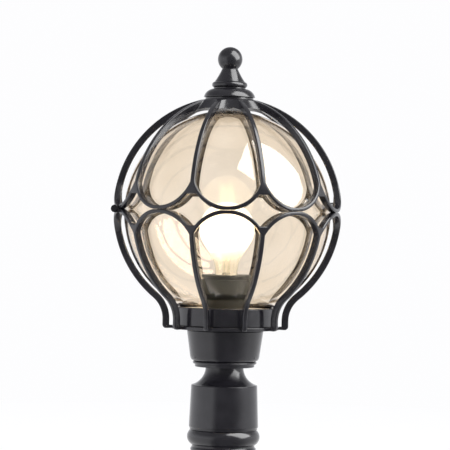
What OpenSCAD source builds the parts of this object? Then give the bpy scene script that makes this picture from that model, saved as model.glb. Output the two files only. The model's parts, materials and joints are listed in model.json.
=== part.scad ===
// Post-top garden lantern: a glass globe in a hinged cage of ribs, on a turned neck and post socket.
// Millimetres, +Z up, origin in the middle of the socket's mouth. Azimuths run from the front (-Y) to +X.

/* [Cage] */
// Outer radius of the round cage
cage_r = 125; // [118:1:132]
// Radial depth of the ribs
rib_depth = 7.5; // [6:0.5:8.5]
// Width of one rib
rib_w = 5; // [4:0.5:7]
// Height of the scalloped rims where the two halves meet
rim_h = 4; // [3:0.25:6]
// Width of the scalloped rims at the sides of a window
rim_side = 3.5; // [2.5:0.25:5]
// Half height of the lozenge gaps between four scallops
lozenge_h = 16.5; // [13:0.5:19]
// How much wider the lower arches are than the upper scallops, in degrees
arch_extra = 1.1; // [0:0.1:1.4]
// Polar angle of the round tops of the upper windows, in degrees
crown_polar = 27.1; // [25:0.1:30]
// Gap between the two halves of the cage
parting_gap = 0.3; // [0.2:0.1:0.8]
// Drop of the foot plate's underside below the round cage's lowest point
foot_drop = 4.6; // [1:0.2:8]
// Outer radius of the upright legs
leg_r = 69; // [64:0.5:72]
// Radius of the bend from the ball into the legs
bend_r = 30; // [24:1:36]
// Radius of the rounded toe of a leg
toe_r = 4; // [2:0.5:5]
// Radius of the foot plate
plate_r = 59; // [57:0.5:61]
// Thickness of the foot plate
plate_t = 3.8; // [3:0.2:6]
// Radius of the hole in the foot plate
plate_hole_r = 25; // [23:0.5:26]

/* [Hinge and clamp] */
// Outer radius of the hinge knuckles
knuckle_r = 4.2; // [3.8:0.1:4.6]
// Width of the middle knuckle, on the upper half
knuckle_w = 4; // [3:0.5:6]
// Width of one outer knuckle, on the lower half
ear_w = 3; // [2:0.5:5]
// Gap between neighbouring knuckles
knuckle_gap = 0.3; // [0.2:0.1:0.6]
// Radius of the hinge pins
pin_r = 1.6; // [1.2:0.1:2]
// Distance of the hinge axis outside the rims
hinge_out = 2.6; // [2.2:0.1:3.2]
// Height of the clamp screw above the middle of the cage
clamp_h = 6.5; // [6:0.25:8]
// Radius of the clamp screw
clamp_screw_r = 2; // [1.5:0.1:2.5]
// Thickness of the clamp tab inside the rim
tab_t = 1.6; // [1.2:0.1:1.9]

/* [Crown and finial] */
// Radius of the crown cap's foot
cap_r = 28.5; // [25:0.5:32]
// Height of the crown cap
cap_h = 11.8; // [9:0.2:14]
// Wall of the crown cap
cap_wall = 3; // [2:0.25:4]
// Radius of the finial's base ring
finial_ring_r = 19.4; // [16:0.2:22]
// Height of the undercut below the finial's base ring
finial_foot_h = 1.2; // [0.8:0.1:2]
// Height of the finial's base ring
finial_ring_h = 6.6; // [5:0.2:9]
// Height of the finial's cone
finial_cone_h = 14; // [10:0.5:20]
// Radius of the finial's ball
finial_ball_r = 13.5; // [10:0.5:16]
// Radius of the top stud
stud_r = 3; // [2.5:0.25:4]

/* [Globe] */
// Gap between the globe and the ribs, on the level of the middle
globe_gap = 4.3; // [3.9:0.1:6]
// How far the globe's middle lies under the cage's
globe_drop = 3.5; // [2.5:0.1:3.8]
// Thickness of the glass
glass_t = 3; // [2:0.25:3.5]
// Outer radius of the globe's gallery
gallery_r = 55; // [53:0.5:57]
// How far the gallery's edge stands over the meeting line of the globe's ball and neck
gallery_lap = 0.4; // [0.2:0.1:1]
// Wall of the gallery
gallery_wall = 3.5; // [2.5:0.25:4]
// Thickness of the gallery's floor
gallery_floor = 3; // [2.5:0.25:4]
// Gap between the globe's neck and the gallery
neck_gap = 3.1; // [2:0.1:4]
// Thickness of the globe's seal
seal_t = 3; // [2:0.25:4]

/* [Lampholder and bulb] */
// Outer radius of the lampholder
holder_r = 27; // [24:0.5:29]
// Height of the lampholder
holder_h = 50.8; // [49:0.2:56]
// Height of the lampholder's slim body under its shoulder
holder_body_h = 24.8; // [22:0.2:27]
// Height of the lampholder's sloping shoulder
holder_shoulder_h = 5; // [3:0.25:7]
// Height of the lampholder's lip
holder_lip_h = 3; // [2:0.25:4]
// Height of the groove under the lampholder's lip
holder_groove_h = 2; // [1:0.25:3]
// Depth of the lampholder's well under the bulb's tip
well_drop = 8.5; // [8:0.25:9.5]
// Thickness of the lampholder's strap
strap_t = 2; // [1.5:0.25:3]
// Outer radius of the bulb's screw cap
bulb_cap_r = 13.2; // [13:0.05:13.3]
// Length of the bulb's screw cap
bulb_cap_len = 27.3; // [26.4:0.1:28]
// Gap between the screw cap and the threaded shell
cap_clear = 0.3; // [0.2:0.05:0.5]
// Radius of the bulb's glass
bulb_r = 30; // [27:0.5:32]
// Overall length of the bulb
bulb_len = 108; // [104:1:114]
// Thickness of the bulb's glass
bulb_wall = 0.8; // [0.6:0.1:1.2]
// Length of one filament stick
filament_len = 38; // [30:1:42]

/* [Cup and neck] */
// Height of the cup
cup_h = 33.5; // [30:0.5:42]
// Outer radius of the cup's rim
cup_top_r = 42; // [41:0.25:44]
// Outer radius of the cup's foot
cup_foot_r = 37.8; // [36.5:0.1:39]
// Wall of the cup
cup_wall = 3; // [2.5:0.25:4]
// Thickness of the cup's floor
cup_floor = 4; // [3:0.5:6]
// Thickness of the rain seal on the cup
rain_seal_t = 1.5; // [1:0.25:3]
// Radius of the circle that the three cup screws lie on
cup_screw_pcd_r = 33; // [32:0.25:34]
// Radius of the cup screws
cup_screw_r = 2.5; // [2:0.25:3]
// Length of the cup screws' grip in the cup
cup_screw_grip = 11; // [8:0.5:13]
// Radius of the collar under the cup
collar_r = 35; // [33:0.5:36.5]
// Height of the collar
collar_h = 6.2; // [4:0.2:8]
// Radius of the neck's waist
waist_r = 20.7; // [18:0.1:24]
// Height of the flared neck
neck_h = 20.2; // [18:0.2:24]

/* [Post sleeve] */
// Height of the sleeve
sleeve_h = 89; // [84:1:110]
// Outer radius of the sleeve's upper edge
sleeve_top_r = 36.2; // [35.5:0.1:38]
// Outer radius of the sleeve just over the bead
sleeve_low_r = 38; // [37:0.1:40]
// Outer radius of the bead
bead_r = 39.8; // [39:0.1:43]
// Outer radius of the skirt
skirt_r = 34.2; // [33.6:0.1:36]
// Radius of the post socket
socket_r = 30.5; // [28:0.25:31]
// Depth of the post socket
socket_depth = 76; // [70:1:77]
// Radius of the set screws
set_screw_r = 3; // [2.5:0.25:3.5]
// Outer radius of the threaded stem
stem_r = 8; // [7:0.25:9]
// Radius of the cable way through the stem
stem_bore_r = 6; // [4.5:0.25:6.5]

/* [Hidden] */
$fn = 96;

iron = "#3a3a40";
steel = "#b9bcc2";
zinc = "#c9c4b0";
amber = [0.88, 0.78, 0.62, 0.35];

slack = 0.05;
over = 1;
rib_count = 10;
bay = 360 / rib_count;
hinge_az = 2 * bay;
clamp_az = 3 * bay;

// Heights up the lamp
neck_z = sleeve_h;
collar_z = neck_z + neck_h;
cup_z = collar_z + collar_h;
rim_z = cup_z + cup_h;
plate_z = rim_z + rain_seal_t;
gallery_z = plate_z + plate_t;
seat_z = gallery_z + gallery_floor;
eq_z = plate_z + cage_r + foot_drop;

// The cage's sphere and the bend of its legs
in_r = cage_r - rib_depth;
bend_x = leg_r + bend_r;
bend_z = -sqrt(pow(cage_r + bend_r, 2) - pow(bend_x, 2));
foot_z = plate_z - eq_z;

// Angles of the windows, seen from the middle of the cage
end_a = asin(sin(bay / 2) - rib_w / 2 / cage_r);
rim_a = asin(rim_h / cage_r);
side_a = asin(rim_side / cage_r);
dip_a = asin(0.45 / cage_r);
low_end_a = end_a + arch_extra;
crown_a = 7.5;

// The hinge's axis and knuckles
hinge_x = -(cage_r * sin(hinge_az) + hinge_out);
hinge_y = cage_r * cos(hinge_az);
ear_off = knuckle_w / 2 + knuckle_gap;
hinge_w = 2 * (ear_off + ear_w);
relief_r = knuckle_r + 0.5;
tab_off = 1.6;

// The crown
seat_r = cap_r + 0.7;
crown_z = eq_z + sqrt(pow(cage_r, 2) - pow(seat_r, 2));
finial_z = crown_z + cap_h;
cone_z = finial_z + finial_foot_h + finial_ring_h;
ball_z = cone_z + finial_cone_h + finial_ball_r * 0.8;
spot_z = eq_z + in_r + 0.4;
washer_t = 1.2;
nut_t = 4.8;
stud_low_z = spot_z - washer_t - nut_t - 0.7;
stud_high_z = cone_z + finial_cone_h / 2;

// The globe
globe_r = in_r - globe_gap;
globe_z = eq_z - globe_drop;
globe_neck_r = gallery_r - gallery_wall - neck_gap;
globe_foot_z = seat_z + seal_t;
meet_z = globe_z - sqrt(pow(globe_r, 2) - pow(globe_neck_r, 2));
gallery_top_z = meet_z + gallery_lap;

// The lampholder and the bulb
strap_z = seat_z;
holder_z = strap_z + strap_t;
holder_top_z = holder_z + holder_h;
shell_r = bulb_cap_r + cap_clear;
shell_t = 0.6;
cap_rim_z = holder_top_z - 0.7;
tip_z = cap_rim_z - bulb_cap_len;
well_z = tip_z - well_drop;
shell_low_z = well_z + well_drop * 0.7;
shell_high_z = cap_rim_z - bulb_cap_len * 0.11;
bulb_z = tip_z + bulb_len - bulb_r;
strap_w = 14;
strap_len = 2 * (globe_neck_r - glass_t - 2.2);
strap_screw_x = strap_len / 2 - 6;
strap_screw_r = 1.95;
holder_screw_x = 8;
holder_screw_r = 1.75;

// The wiring
lead_x = 6;
lead_y = -18.5;
lead_r = 1.2;
block_l = 24;
block_w = 11;
block_h = 12;
lead_in = 5.8;
lead_up = 9.5;
lead_bend = 4;
earth_x = 24;
earth_y = 12;
earth_screw_x = 21;
earth_screw_y = 18;
earth_screw_r = 1.6;
lug_t = 1.2;

// The neck and the stem
flare_r = neck_h + 0.4;
web_z = neck_z - 5;
stem_nut_t = 6;
stem_nut_r = 13;
stem_washer_r = 13.5;
stem_washer_t = 1.5;
stem_low_z = web_z - stem_washer_t - stem_nut_t - 0.4;
stem_high_z = cup_z + cup_floor + stem_washer_t + stem_nut_t * 1.25;
stop_r = socket_r - 3;
skirt_z = 22;
bead_z = 41.5;
set_screw_z = 9;
set_screw_len = 6;

// A bore or shaft round the lamp's axis from z to z + h
module shaft(r, z, h) translate([0, 0, z]) cylinder(r = r, h = h);

// Copies round the axis
module around(count, start = 0) for (i = [0 : count - 1]) rotate([0, 0, start + i * 360 / count]) children();

// A cone from the cage's middle towards azimuth az and elevation el, left out near its tip
module ray_cone(az, el, half) {
    near = in_r * 0.8;
    far = cage_r * 1.1;
    rotate([90 - el, 0, az]) rotate([0, 0, 90 * sign(el)]) translate([0, 0, near])
        cylinder(r1 = near * tan(half), r2 = far * tan(half), h = far - near);
}

// The wedge of air between two neighbouring ribs, from z0 to z1
module bay_wedge(az, z0, z1) {
    tip = rib_w / 2 / sin(bay / 2);
    reach = cage_r * 1.2;
    rotate([0, 0, az]) translate([0, 0, z0]) linear_extrude(z1 - z0)
        polygon([
            [0, -tip],
            [-(reach - tip) * tan(bay / 2), -reach],
            [(reach - tip) * tan(bay / 2), -reach]
        ]);
}

// A slice of space across one bay, its side view given as points of distance and height
module bay_slice(az, points)
    rotate([0, 0, az]) rotate([90, 0, -90]) translate([0, 0, -cage_r / 2])
        linear_extrude(cage_r) polygon(points);

// One upper window: round at the foot, round at the crown, straight along the ribs
module upper_window(az) {
    foot_el = rim_a + end_a;
    top_el = 90 - crown_polar;
    reach = cage_r * 1.6;
    intersection() {
        bay_wedge(az, 0, cage_r);
        union() {
            bay_slice(az, [[0, 0], reach * [cos(foot_el), sin(foot_el)], reach * [cos(top_el), sin(top_el)]]);
            ray_cone(az, foot_el, end_a);
            ray_cone(az, top_el, crown_a);
        }
    }
}

// One lower window: an arch over the gap between two legs
module lower_window(az) {
    top_el = rim_a + low_end_a;
    reach = cage_r * 1.3;
    intersection() {
        bay_wedge(az, foot_z - over, 0);
        union() {
            bay_slice(az, [
                [0, 0], reach * [cos(top_el), -sin(top_el)],
                [reach, foot_z - over], [0, foot_z - over]
            ]);
            ray_cone(az, -top_el, low_end_a);
        }
    }
}

// The air outside the scallops, in two blocks beside each rib. A block reaches from its bay's middle to just
// past the rib's, and is left out where the bay's own round end is. One flat ring ends them all at the lozenges' tips.
module lozenges(up) {
    half = (up > 0 ? end_a : low_end_a) + side_a;
    near = in_r * 0.85;
    far = cage_r * 1.05;
    start = sqrt(2 * half * dip_a) * 0.8;
    end = bay / 2 + 0.5;
    intersection() {
        translate([0, 0, up > 0 ? -over : -lozenge_h]) cylinder(r = cage_r * 1.2, h = lozenge_h + over);
        for (i = [0 : rib_count - 1], s = [-1, 1]) difference() {
            rotate([0, 0, i * bay]) translate([0, 0, up > 0 ? -over - 2 : -lozenge_h - 2])
                linear_extrude(lozenge_h + over + 4) polygon([
                    [s * near * tan(start), -near], [s * near * tan(end), -near],
                    [s * far * tan(end), -far], [s * far * tan(start), -far]
                ]);
            ray_cone(i * bay, up * (half - dip_a), half);
        }
    }
}

// Side view of the shell that the upper half is cut from
module upper_shell_2d() intersection() {
    difference() {
        circle(r = cage_r);
        circle(r = in_r);
    }
    translate([0, parting_gap / 2]) square([cage_r + over, crown_z - eq_z - parting_gap / 2]);
}

// A strip inside the wall from x0 to x1 that joins the pieces on both sides of a seam
module seam(x0, x1) translate([x0 + 1.5, -0.4]) square([x1 - x0 - 3, 0.8]);

// Side view of the shell that the lower half is cut from: ball, bend, leg and toe
module lower_shell_2d() {
    split = atan2(-bend_z, bend_x);
    reach = cage_r * 1.3;
    intersection() {
        difference() {
            circle(r = cage_r);
            circle(r = in_r);
        }
        polygon([[0, 0], reach * [cos(split), -sin(split)], [reach, -parting_gap / 2], [0, -parting_gap / 2]]);
    }
    intersection() {
        translate([bend_x, bend_z]) difference() {
            circle(r = bend_r + rib_depth);
            circle(r = bend_r);
        }
        polygon([[bend_x, bend_z], [0, bend_z], [0, 0]]);
    }
    rotate(-split) seam(in_r, cage_r);
    translate([0, bend_z]) seam(leg_r - rib_depth, leg_r);
    polygon(concat(
        [[plate_r - 4, foot_z + plate_t], [plate_r - 4, foot_z]],
        [for (i = [0 : 6]) [leg_r - toe_r + toe_r * sin(i * 15), foot_z + toe_r - toe_r * cos(i * 15)]],
        [[leg_r, bend_z], [leg_r - rib_depth, bend_z], [leg_r - rib_depth, foot_z + plate_t]]
    ));
}

// Places what follows at both hinge stations, with Y along the pin
module at_hinges() for (s = [-1, 1]) translate([hinge_x, s * hinge_y, 0]) children();

// A cylinder along Y from y0 to y1
module along_y(r, y0, y1) translate([0, y0, 0]) rotate([-90, 0, 0]) cylinder(r = r, h = y1 - y0);

// One hinge knuckle from y0 to y1 with the lug that joins it to the rim above (up = 1) or below it
module knuckle(y0, y1, up) {
    lug = hinge_out + rib_depth * 0.75;
    low = up > 0 ? parting_gap / 2 : -knuckle_r;
    along_y(knuckle_r, y0, y1);
    translate([0, y0, low]) cube([lug, y1 - y0, knuckle_r - parting_gap / 2]);
}

// Places what follows at the clamp, with X pointing outwards
module at_clamp() rotate([0, 0, clamp_az - 90]) children();

module post_sleeve() color(iron) difference() {
    rotate_extrude() difference() {
        union() {
            polygon([
                [0, skirt_z], [skirt_r + 0.4, skirt_z], [skirt_r + 0.4, bead_z - 1], [sleeve_low_r - 0.9, bead_z - 1],
                [sleeve_low_r - 0.9, bead_z + 1], [sleeve_low_r, bead_z + 2.2], [sleeve_top_r, sleeve_h],
                [0, sleeve_h]
            ]);
            intersection() {
                translate([bead_r - 10, (skirt_z + bead_z) / 2 + 1]) circle(r = 10);
                translate([0, skirt_z - 0.3]) square([bead_r + over, bead_z - skirt_z + 0.3]);
            }
            square([skirt_r, skirt_z + over]);
            translate([skirt_r - 1, skirt_z - 3]) circle(r = 2.8);
        }
        translate([0, -over]) square([socket_r, socket_depth + over]);
        square([stop_r, web_z]);
        square([stem_r + slack, sleeve_h + over]);
    }
    around(3, 90) translate([socket_r - over, 0, set_screw_z]) rotate([0, 90, 0])
        cylinder(r = set_screw_r + slack, h = skirt_r - socket_r + 2 * over);
}

module set_screws() color(steel) around(3, 90) translate([socket_r + 0.1, 0, set_screw_z]) rotate([0, 90, 0])
    difference() {
        cylinder(r = set_screw_r, h = set_screw_len);
        translate([0, 0, set_screw_len / 2]) cylinder(r = set_screw_r / 2, h = set_screw_len, $fn = 6);
    }

module stem() color(steel) difference() {
    shaft(stem_r, stem_low_z, stem_high_z - stem_low_z);
    shaft(stem_bore_r, stem_low_z - over, stem_high_z - stem_low_z + 2 * over);
}

module stem_nuts() color(steel) for (z = [web_z - stem_washer_t - stem_nut_t, cup_z + cup_floor + stem_washer_t])
    difference() {
        translate([0, 0, z]) cylinder(r = stem_nut_r, h = stem_nut_t, $fn = 6);
        shaft(stem_r + slack, z - over, stem_nut_t + 2 * over);
    }

module stem_washers() color(zinc) for (z = [web_z - stem_washer_t, cup_z + cup_floor]) difference() {
    shaft(stem_washer_r, z, stem_washer_t);
    shaft(stem_r + 0.3, z - over, stem_washer_t + 2 * over);
}

module neck() color(iron) rotate_extrude() difference() {
    union() {
        translate([0, neck_z]) square([sleeve_top_r - 0.3, neck_h]);
        translate([0, collar_z]) square([collar_r - 2.4, collar_h / 2 + over]);
        translate([0, collar_z + collar_h / 2]) square([collar_r - 0.6, collar_h / 2]);
        translate([collar_r - 1.2, collar_z + collar_h * 0.75]) circle(r = collar_h * 0.2);
    }
    translate([waist_r + flare_r, collar_z]) circle(r = flare_r);
    translate([0, neck_z - over]) square([stem_r + slack, neck_h + collar_h + 2 * over]);
    translate([0, neck_z - over]) square([waist_r - 4, neck_h * 0.6 + over]);
}

module cup() color(iron) {
    low_r = cup_foot_r;
    difference() {
        rotate_extrude() difference() {
            polygon([
                [0, cup_z], [low_r - 4.4, cup_z], [low_r - 1.8, cup_z + 0.9], [low_r - 0.5, cup_z + 2.2],
                [low_r, cup_z + 4], [cup_top_r, rim_z], [0, rim_z]
            ]);
            polygon([
                [0, cup_z + cup_floor], [low_r - cup_wall - 2, cup_z + cup_floor],
                [low_r - cup_wall, cup_z + cup_floor + 2], [cup_top_r - cup_wall, rim_z + over], [0, rim_z + over]
            ]);
        }
        shaft(stem_r + slack, cup_z - over, cup_floor + 2 * over);
        translate([earth_screw_x, earth_screw_y, cup_z + 1])
            cylinder(r = earth_screw_r + slack, h = cup_floor + over);
    }
    difference() {
        around(3, 90) translate([cup_screw_pcd_r, 0, cup_z + cup_floor - over])
            cylinder(r = cup_screw_r + 2.7, h = cup_h - cup_floor + over);
        around(3, 90) translate([cup_screw_pcd_r, 0, rim_z - cup_screw_grip - 3])
            cylinder(r = cup_screw_r + slack, h = cup_screw_grip + 3 + over);
    }
}

module rain_seal() color("#222222") difference() {
    shaft(cup_top_r - 0.6, rim_z, rain_seal_t);
    shaft(plate_hole_r + 1, rim_z - over, rain_seal_t + 2 * over);
    around(3, 90) translate([cup_screw_pcd_r, 0, rim_z - over])
        cylinder(r = cup_screw_r + 0.5, h = rain_seal_t + 2 * over);
}

module lower_cage() color(iron) translate([0, 0, eq_z]) difference() {
    union() {
        difference() {
            rotate_extrude() lower_shell_2d();
            for (i = [0 : rib_count - 1]) lower_window(i * bay);
            lozenges(-1);
        }
        shaft(plate_r, foot_z, plate_t);
        at_hinges() {
            knuckle(ear_off, ear_off + ear_w, -1);
            knuckle(-ear_off - ear_w, -ear_off, -1);
        }
        at_clamp() {
            translate([in_r - tab_off - tab_t, -6, -5.5]) cube([tab_t, 12, 5.5 + clamp_h + 3]);
            translate([in_r - tab_off - tab_t, -6, -5.5]) cube([tab_off + tab_t + 2, 12, 3.2]);
        }
    }
    shaft(plate_hole_r, foot_z - over, plate_t + 2 * over);
    around(3, 90) translate([cup_screw_pcd_r, 0, foot_z - over])
        cylinder(r = cup_screw_r + 0.3, h = plate_t + 2 * over);
    at_hinges() {
        along_y(relief_r, -ear_off, ear_off);
        along_y(pin_r + slack, -hinge_w, hinge_w);
    }
}

// The two pins, each with its head on the side away from the other
module hinge_pins() color(iron) translate([0, 0, eq_z]) for (s = [-1, 1]) translate([hinge_x, s * hinge_y, 0]) {
    along_y(pin_r, -hinge_w / 2 - 0.4, hinge_w / 2 + 0.4);
    along_y(pin_r + 1, s > 0 ? hinge_w / 2 + 0.4 : -hinge_w / 2 - 1.4, s > 0 ? hinge_w / 2 + 1.4 : -hinge_w / 2 - 0.4);
}

module gallery() color(iron) difference() {
    shaft(gallery_r, gallery_z, gallery_top_z - gallery_z);
    shaft(gallery_r - gallery_wall, seat_z, gallery_top_z);
    around(3, 90) translate([cup_screw_pcd_r, 0, gallery_z - over])
        cylinder(r = cup_screw_r + 0.3, h = gallery_floor + 2 * over);
    for (s = [-1, 1]) {
        translate([s * lead_x, lead_y, gallery_z - over]) cylinder(r = lead_r + 0.8, h = gallery_floor + 2 * over);
        translate([s * strap_screw_x, 0, gallery_z - over])
            cylinder(r = strap_screw_r + slack, h = gallery_floor + 2 * over);
    }
}

// A pan-head screw that hangs down from z, its shank length len
module pan_screw(r, len, head_r, head_h) {
    translate([0, 0, -len]) cylinder(r = r, h = len);
    difference() {
        cylinder(r = head_r, h = head_h);
        translate([-head_r, -0.5, head_h * 0.55]) cube([2 * head_r, 1, head_h]);
    }
}

module cup_screws() color(steel) around(3, 90) translate([cup_screw_pcd_r, 0, seat_z])
    pan_screw(
        cup_screw_r, gallery_floor + plate_t + rain_seal_t + cup_screw_grip,
        cup_screw_r * 1.8, cup_screw_r * 1.2
    );

module globe_seal() color("#1d1d1d") difference() {
    shaft(gallery_r - gallery_wall - 0.3, seat_z, seal_t);
    shaft(globe_neck_r - glass_t - 0.8, seat_z - over, seal_t + 2 * over);
}

module globe() color(amber) rotate_extrude() difference() {
    union() {
        intersection() {
            translate([0, globe_z]) circle(r = globe_r);
            translate([0, gallery_top_z]) square([globe_r + over, 2 * globe_r]);
        }
        translate([0, globe_foot_z]) square([globe_neck_r, meet_z + 3 * glass_t - globe_foot_z]);
        translate([0, globe_foot_z]) square([globe_neck_r + 1.2, glass_t]);
    }
    translate([0, globe_z]) circle(r = globe_r - glass_t);
    translate([0, globe_foot_z - over]) square([globe_neck_r - glass_t, meet_z + 3 * glass_t - globe_foot_z]);
    translate([-globe_r - over, 0]) square([globe_r + over, 4 * globe_r]);
}

module holder_strap() color(steel) difference() {
    translate([-strap_len / 2, -strap_w / 2, strap_z]) cube([strap_len, strap_w, strap_t]);
    for (s = [-1, 1]) {
        translate([s * strap_screw_x, 0, strap_z - over])
            cylinder(r = strap_screw_r + 0.25, h = strap_t + 2 * over);
        translate([s * holder_screw_x, 0, strap_z - over])
            cylinder(r = holder_screw_r + slack, h = strap_t + 2 * over);
    }
}

module strap_screws() color(steel) for (s = [-1, 1]) translate([s * strap_screw_x, 0, holder_z])
    pan_screw(strap_screw_r, strap_t + gallery_floor - 0.3, strap_screw_r * 1.85, strap_screw_r * 1.13);

module lampholder() color("#2b2b2b") difference() {
    ring_z = holder_z + holder_body_h + holder_shoulder_h;
    groove_z = holder_top_z - holder_lip_h - holder_groove_h;
    union() {
        shaft(holder_r - 4, holder_z, holder_h - over);
        translate([0, 0, holder_z + holder_body_h])
            cylinder(r1 = holder_r - 4, r2 = holder_r, h = holder_shoulder_h);
        shaft(holder_r, ring_z, groove_z - ring_z);
        shaft(holder_r - 1.2, groove_z - 0.5, holder_groove_h + 1);
        shaft(holder_r, holder_top_z - holder_lip_h, holder_lip_h);
    }
    shaft(shell_r + shell_t + slack, well_z, holder_h);
    for (s = [-1, 1]) {
        translate([s * lead_x, lead_y, holder_z - over]) cylinder(r = lead_r + 0.8, h = lead_up + 1.5 + over);
        translate([s * holder_screw_x, 0, holder_z - over]) cylinder(r = holder_screw_r + slack, h = holder_h);
    }
}

module holder_shell() color("#c8a24a") difference() {
    shaft(shell_r + shell_t, shell_low_z, shell_high_z - shell_low_z);
    shaft(shell_r, shell_low_z - over, shell_high_z);
}

// The sprung centre contact: a riveted foot and a strip bent up over the well's floor
module holder_contact() color("#c8a24a") translate([0, 0, well_z]) {
    strip = 0.8;
    top = tip_z - well_z - 0.4;
    rotate([90, 0, 0]) translate([0, 0, -2.5]) linear_extrude(5) {
        translate([-4, 0]) square([6.5, strip]);
        polygon([[1.7, 0], [2.5, 0], [5.2, top * 0.6], [4.4, top * 0.6]]);
        polygon([[4.4, top * 0.6], [5.2, top * 0.6], [3.2, top], [-3, top], [-3, top - strip], [2.8, top - strip]]);
    }
    translate([0, 0, strip]) cylinder(r = 1.4, h = 1);
}

module holder_screws() color(steel) for (s = [-1, 1]) translate([s * holder_screw_x, 0, well_z])
    pan_screw(holder_screw_r, well_z - strap_z - 0.3, holder_screw_r * 1.66, holder_screw_r);

module terminal_block() color("#e6e2d6") translate([0, lead_y - 1.5, cup_z + cup_floor]) difference() {
    translate([-block_l / 2, -block_w / 2, 0]) cube([block_l, block_w, block_h]);
    for (s = [-1, 0, 1]) {
        translate([s * lead_x, 1.5, block_h - 6]) cylinder(r = lead_r + 0.4, h = 6 + over);
        translate([s * lead_x, -2.8, block_h - 4]) cylinder(r = 1.7, h = 4 + over);
    }
}

module terminal_screws() color(zinc) for (s = [-1, 0, 1])
    translate([s * lead_x, lead_y - 4.3, cup_z + cup_floor + block_h - 3.9]) difference() {
        cylinder(r = 1.5, h = 3.4);
        translate([-2, -0.3, 2.6]) cube([4, 0.6, 2]);
    }

module lamp_leads() color("#d8cdb8") for (s = [-1, 1])
    translate([s * lead_x, lead_y, cup_z + cup_floor + block_h - lead_in])
        cylinder(r = lead_r, h = holder_z + lead_up - (cup_z + cup_floor + block_h - lead_in));

// The earth lead rises from the block's middle way, bends over and comes down on a lug with a ring for its screw
module earth_lead() color("#7fae3c") {
    floor_z = cup_z + cup_floor;
    low = floor_z + block_h - lead_in;
    top = floor_z + block_h + lead_bend;
    span = norm([earth_x, earth_y - lead_y]);
    translate([0, lead_y, 0]) rotate([0, 0, atan2(earth_y - lead_y, earth_x)]) {
        shaft(lead_r, low, top - low);
        translate([lead_bend, 0, top]) rotate([90, 0, 0]) rotate_extrude(angle = 90, start = 90)
            translate([lead_bend, 0]) circle(r = lead_r);
        translate([lead_bend, 0, top + lead_bend]) rotate([0, 90, 0]) cylinder(r = lead_r, h = span - 2 * lead_bend);
        translate([span - lead_bend, 0, top]) rotate([90, 0, 0]) rotate_extrude(angle = 90)
            translate([lead_bend, 0]) circle(r = lead_r);
        translate([span, 0, 0]) shaft(lead_r, floor_z + lug_t / 2, top - floor_z - lug_t / 2);
    }
    difference() {
        union() {
            translate([earth_x, earth_y, 0]) shaft(lead_r + 1, floor_z, lug_t);
            translate([earth_screw_x, earth_screw_y, 0]) shaft(earth_screw_r * 2.5, floor_z, lug_t);
            translate([earth_x, earth_y, floor_z])
                rotate([0, 0, atan2(earth_screw_y - earth_y, earth_screw_x - earth_x)])
                translate([0, -lead_r * 1.4, 0])
                cube([norm([earth_screw_x - earth_x, earth_screw_y - earth_y]), lead_r * 2.8, lug_t]);
        }
        translate([earth_screw_x, earth_screw_y, 0]) shaft(earth_screw_r + 0.3, floor_z - over, lug_t + 2 * over);
    }
}

module earth_screw() color("#c8a24a") translate([earth_screw_x, earth_screw_y, cup_z + cup_floor + lug_t])
    pan_screw(earth_screw_r, cup_floor + lug_t - 1.3, earth_screw_r * 2, earth_screw_r * 1.25);

module upper_cage() color(iron) translate([0, 0, eq_z]) difference() {
    union() {
        difference() {
            rotate_extrude() upper_shell_2d();
            for (i = [0 : rib_count - 1]) upper_window(i * bay);
            lozenges(1);
        }
        at_hinges() knuckle(-knuckle_w / 2, knuckle_w / 2, 1);
        at_clamp() difference() {
            translate([in_r, 0, clamp_h]) rotate([0, 90, 0]) cylinder(r = 5, h = rib_depth + 1);
            translate([0, -10, -20]) cube([cage_r * 2, 20, 20 + parting_gap / 2]);
        }
    }
    at_hinges() {
        for (s = [-1, 1]) along_y(relief_r, s * ear_off - (s > 0 ? 0.3 : ear_w + 0.3), s * ear_off + (s > 0 ? ear_w + 0.3 : 0.3));
        along_y(pin_r + slack, -hinge_w, hinge_w);
    }
    at_clamp() translate([in_r - over, 0, clamp_h]) rotate([0, 90, 0])
        cylinder(r = clamp_screw_r + slack, h = rib_depth + 3 * over);
    translate([0, 0, -eq_z]) {
        shaft(stud_r + 0.3, spot_z - over, cage_r);
        shaft(8, spot_z - 3, 3);
    }
}

module crown_cap() color(iron) {
    round_r = cap_h + 0.3;
    rotate_extrude() difference() {
        intersection() {
            union() {
                translate([0, crown_z]) square([cap_r - round_r, cap_h]);
                translate([cap_r - round_r, crown_z]) circle(r = round_r);
            }
            translate([0, crown_z]) square([cap_r + over, cap_h]);
        }
        intersection() {
            translate([cap_r - round_r, crown_z]) circle(r = round_r - cap_wall);
            translate([stud_r + 6, crown_z - over]) square([cap_r, cap_h + over - cap_wall]);
        }
        translate([0, crown_z - over]) square([stud_r + 0.3, cap_h + 2 * over]);
    }
}

module top_stud() color(steel) shaft(stud_r, stud_low_z, stud_high_z - stud_low_z);

module top_washer() color(zinc) difference() {
    shaft(7, spot_z - washer_t, washer_t);
    shaft(stud_r + 0.2, spot_z - washer_t - over, washer_t + 2 * over);
}

module top_nut() color(steel) difference() {
    translate([0, 0, spot_z - washer_t - nut_t]) cylinder(r = stud_r * 1.9, h = nut_t, $fn = 6);
    shaft(stud_r + slack, spot_z - washer_t - nut_t - over, nut_t + 2 * over);
}

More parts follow.
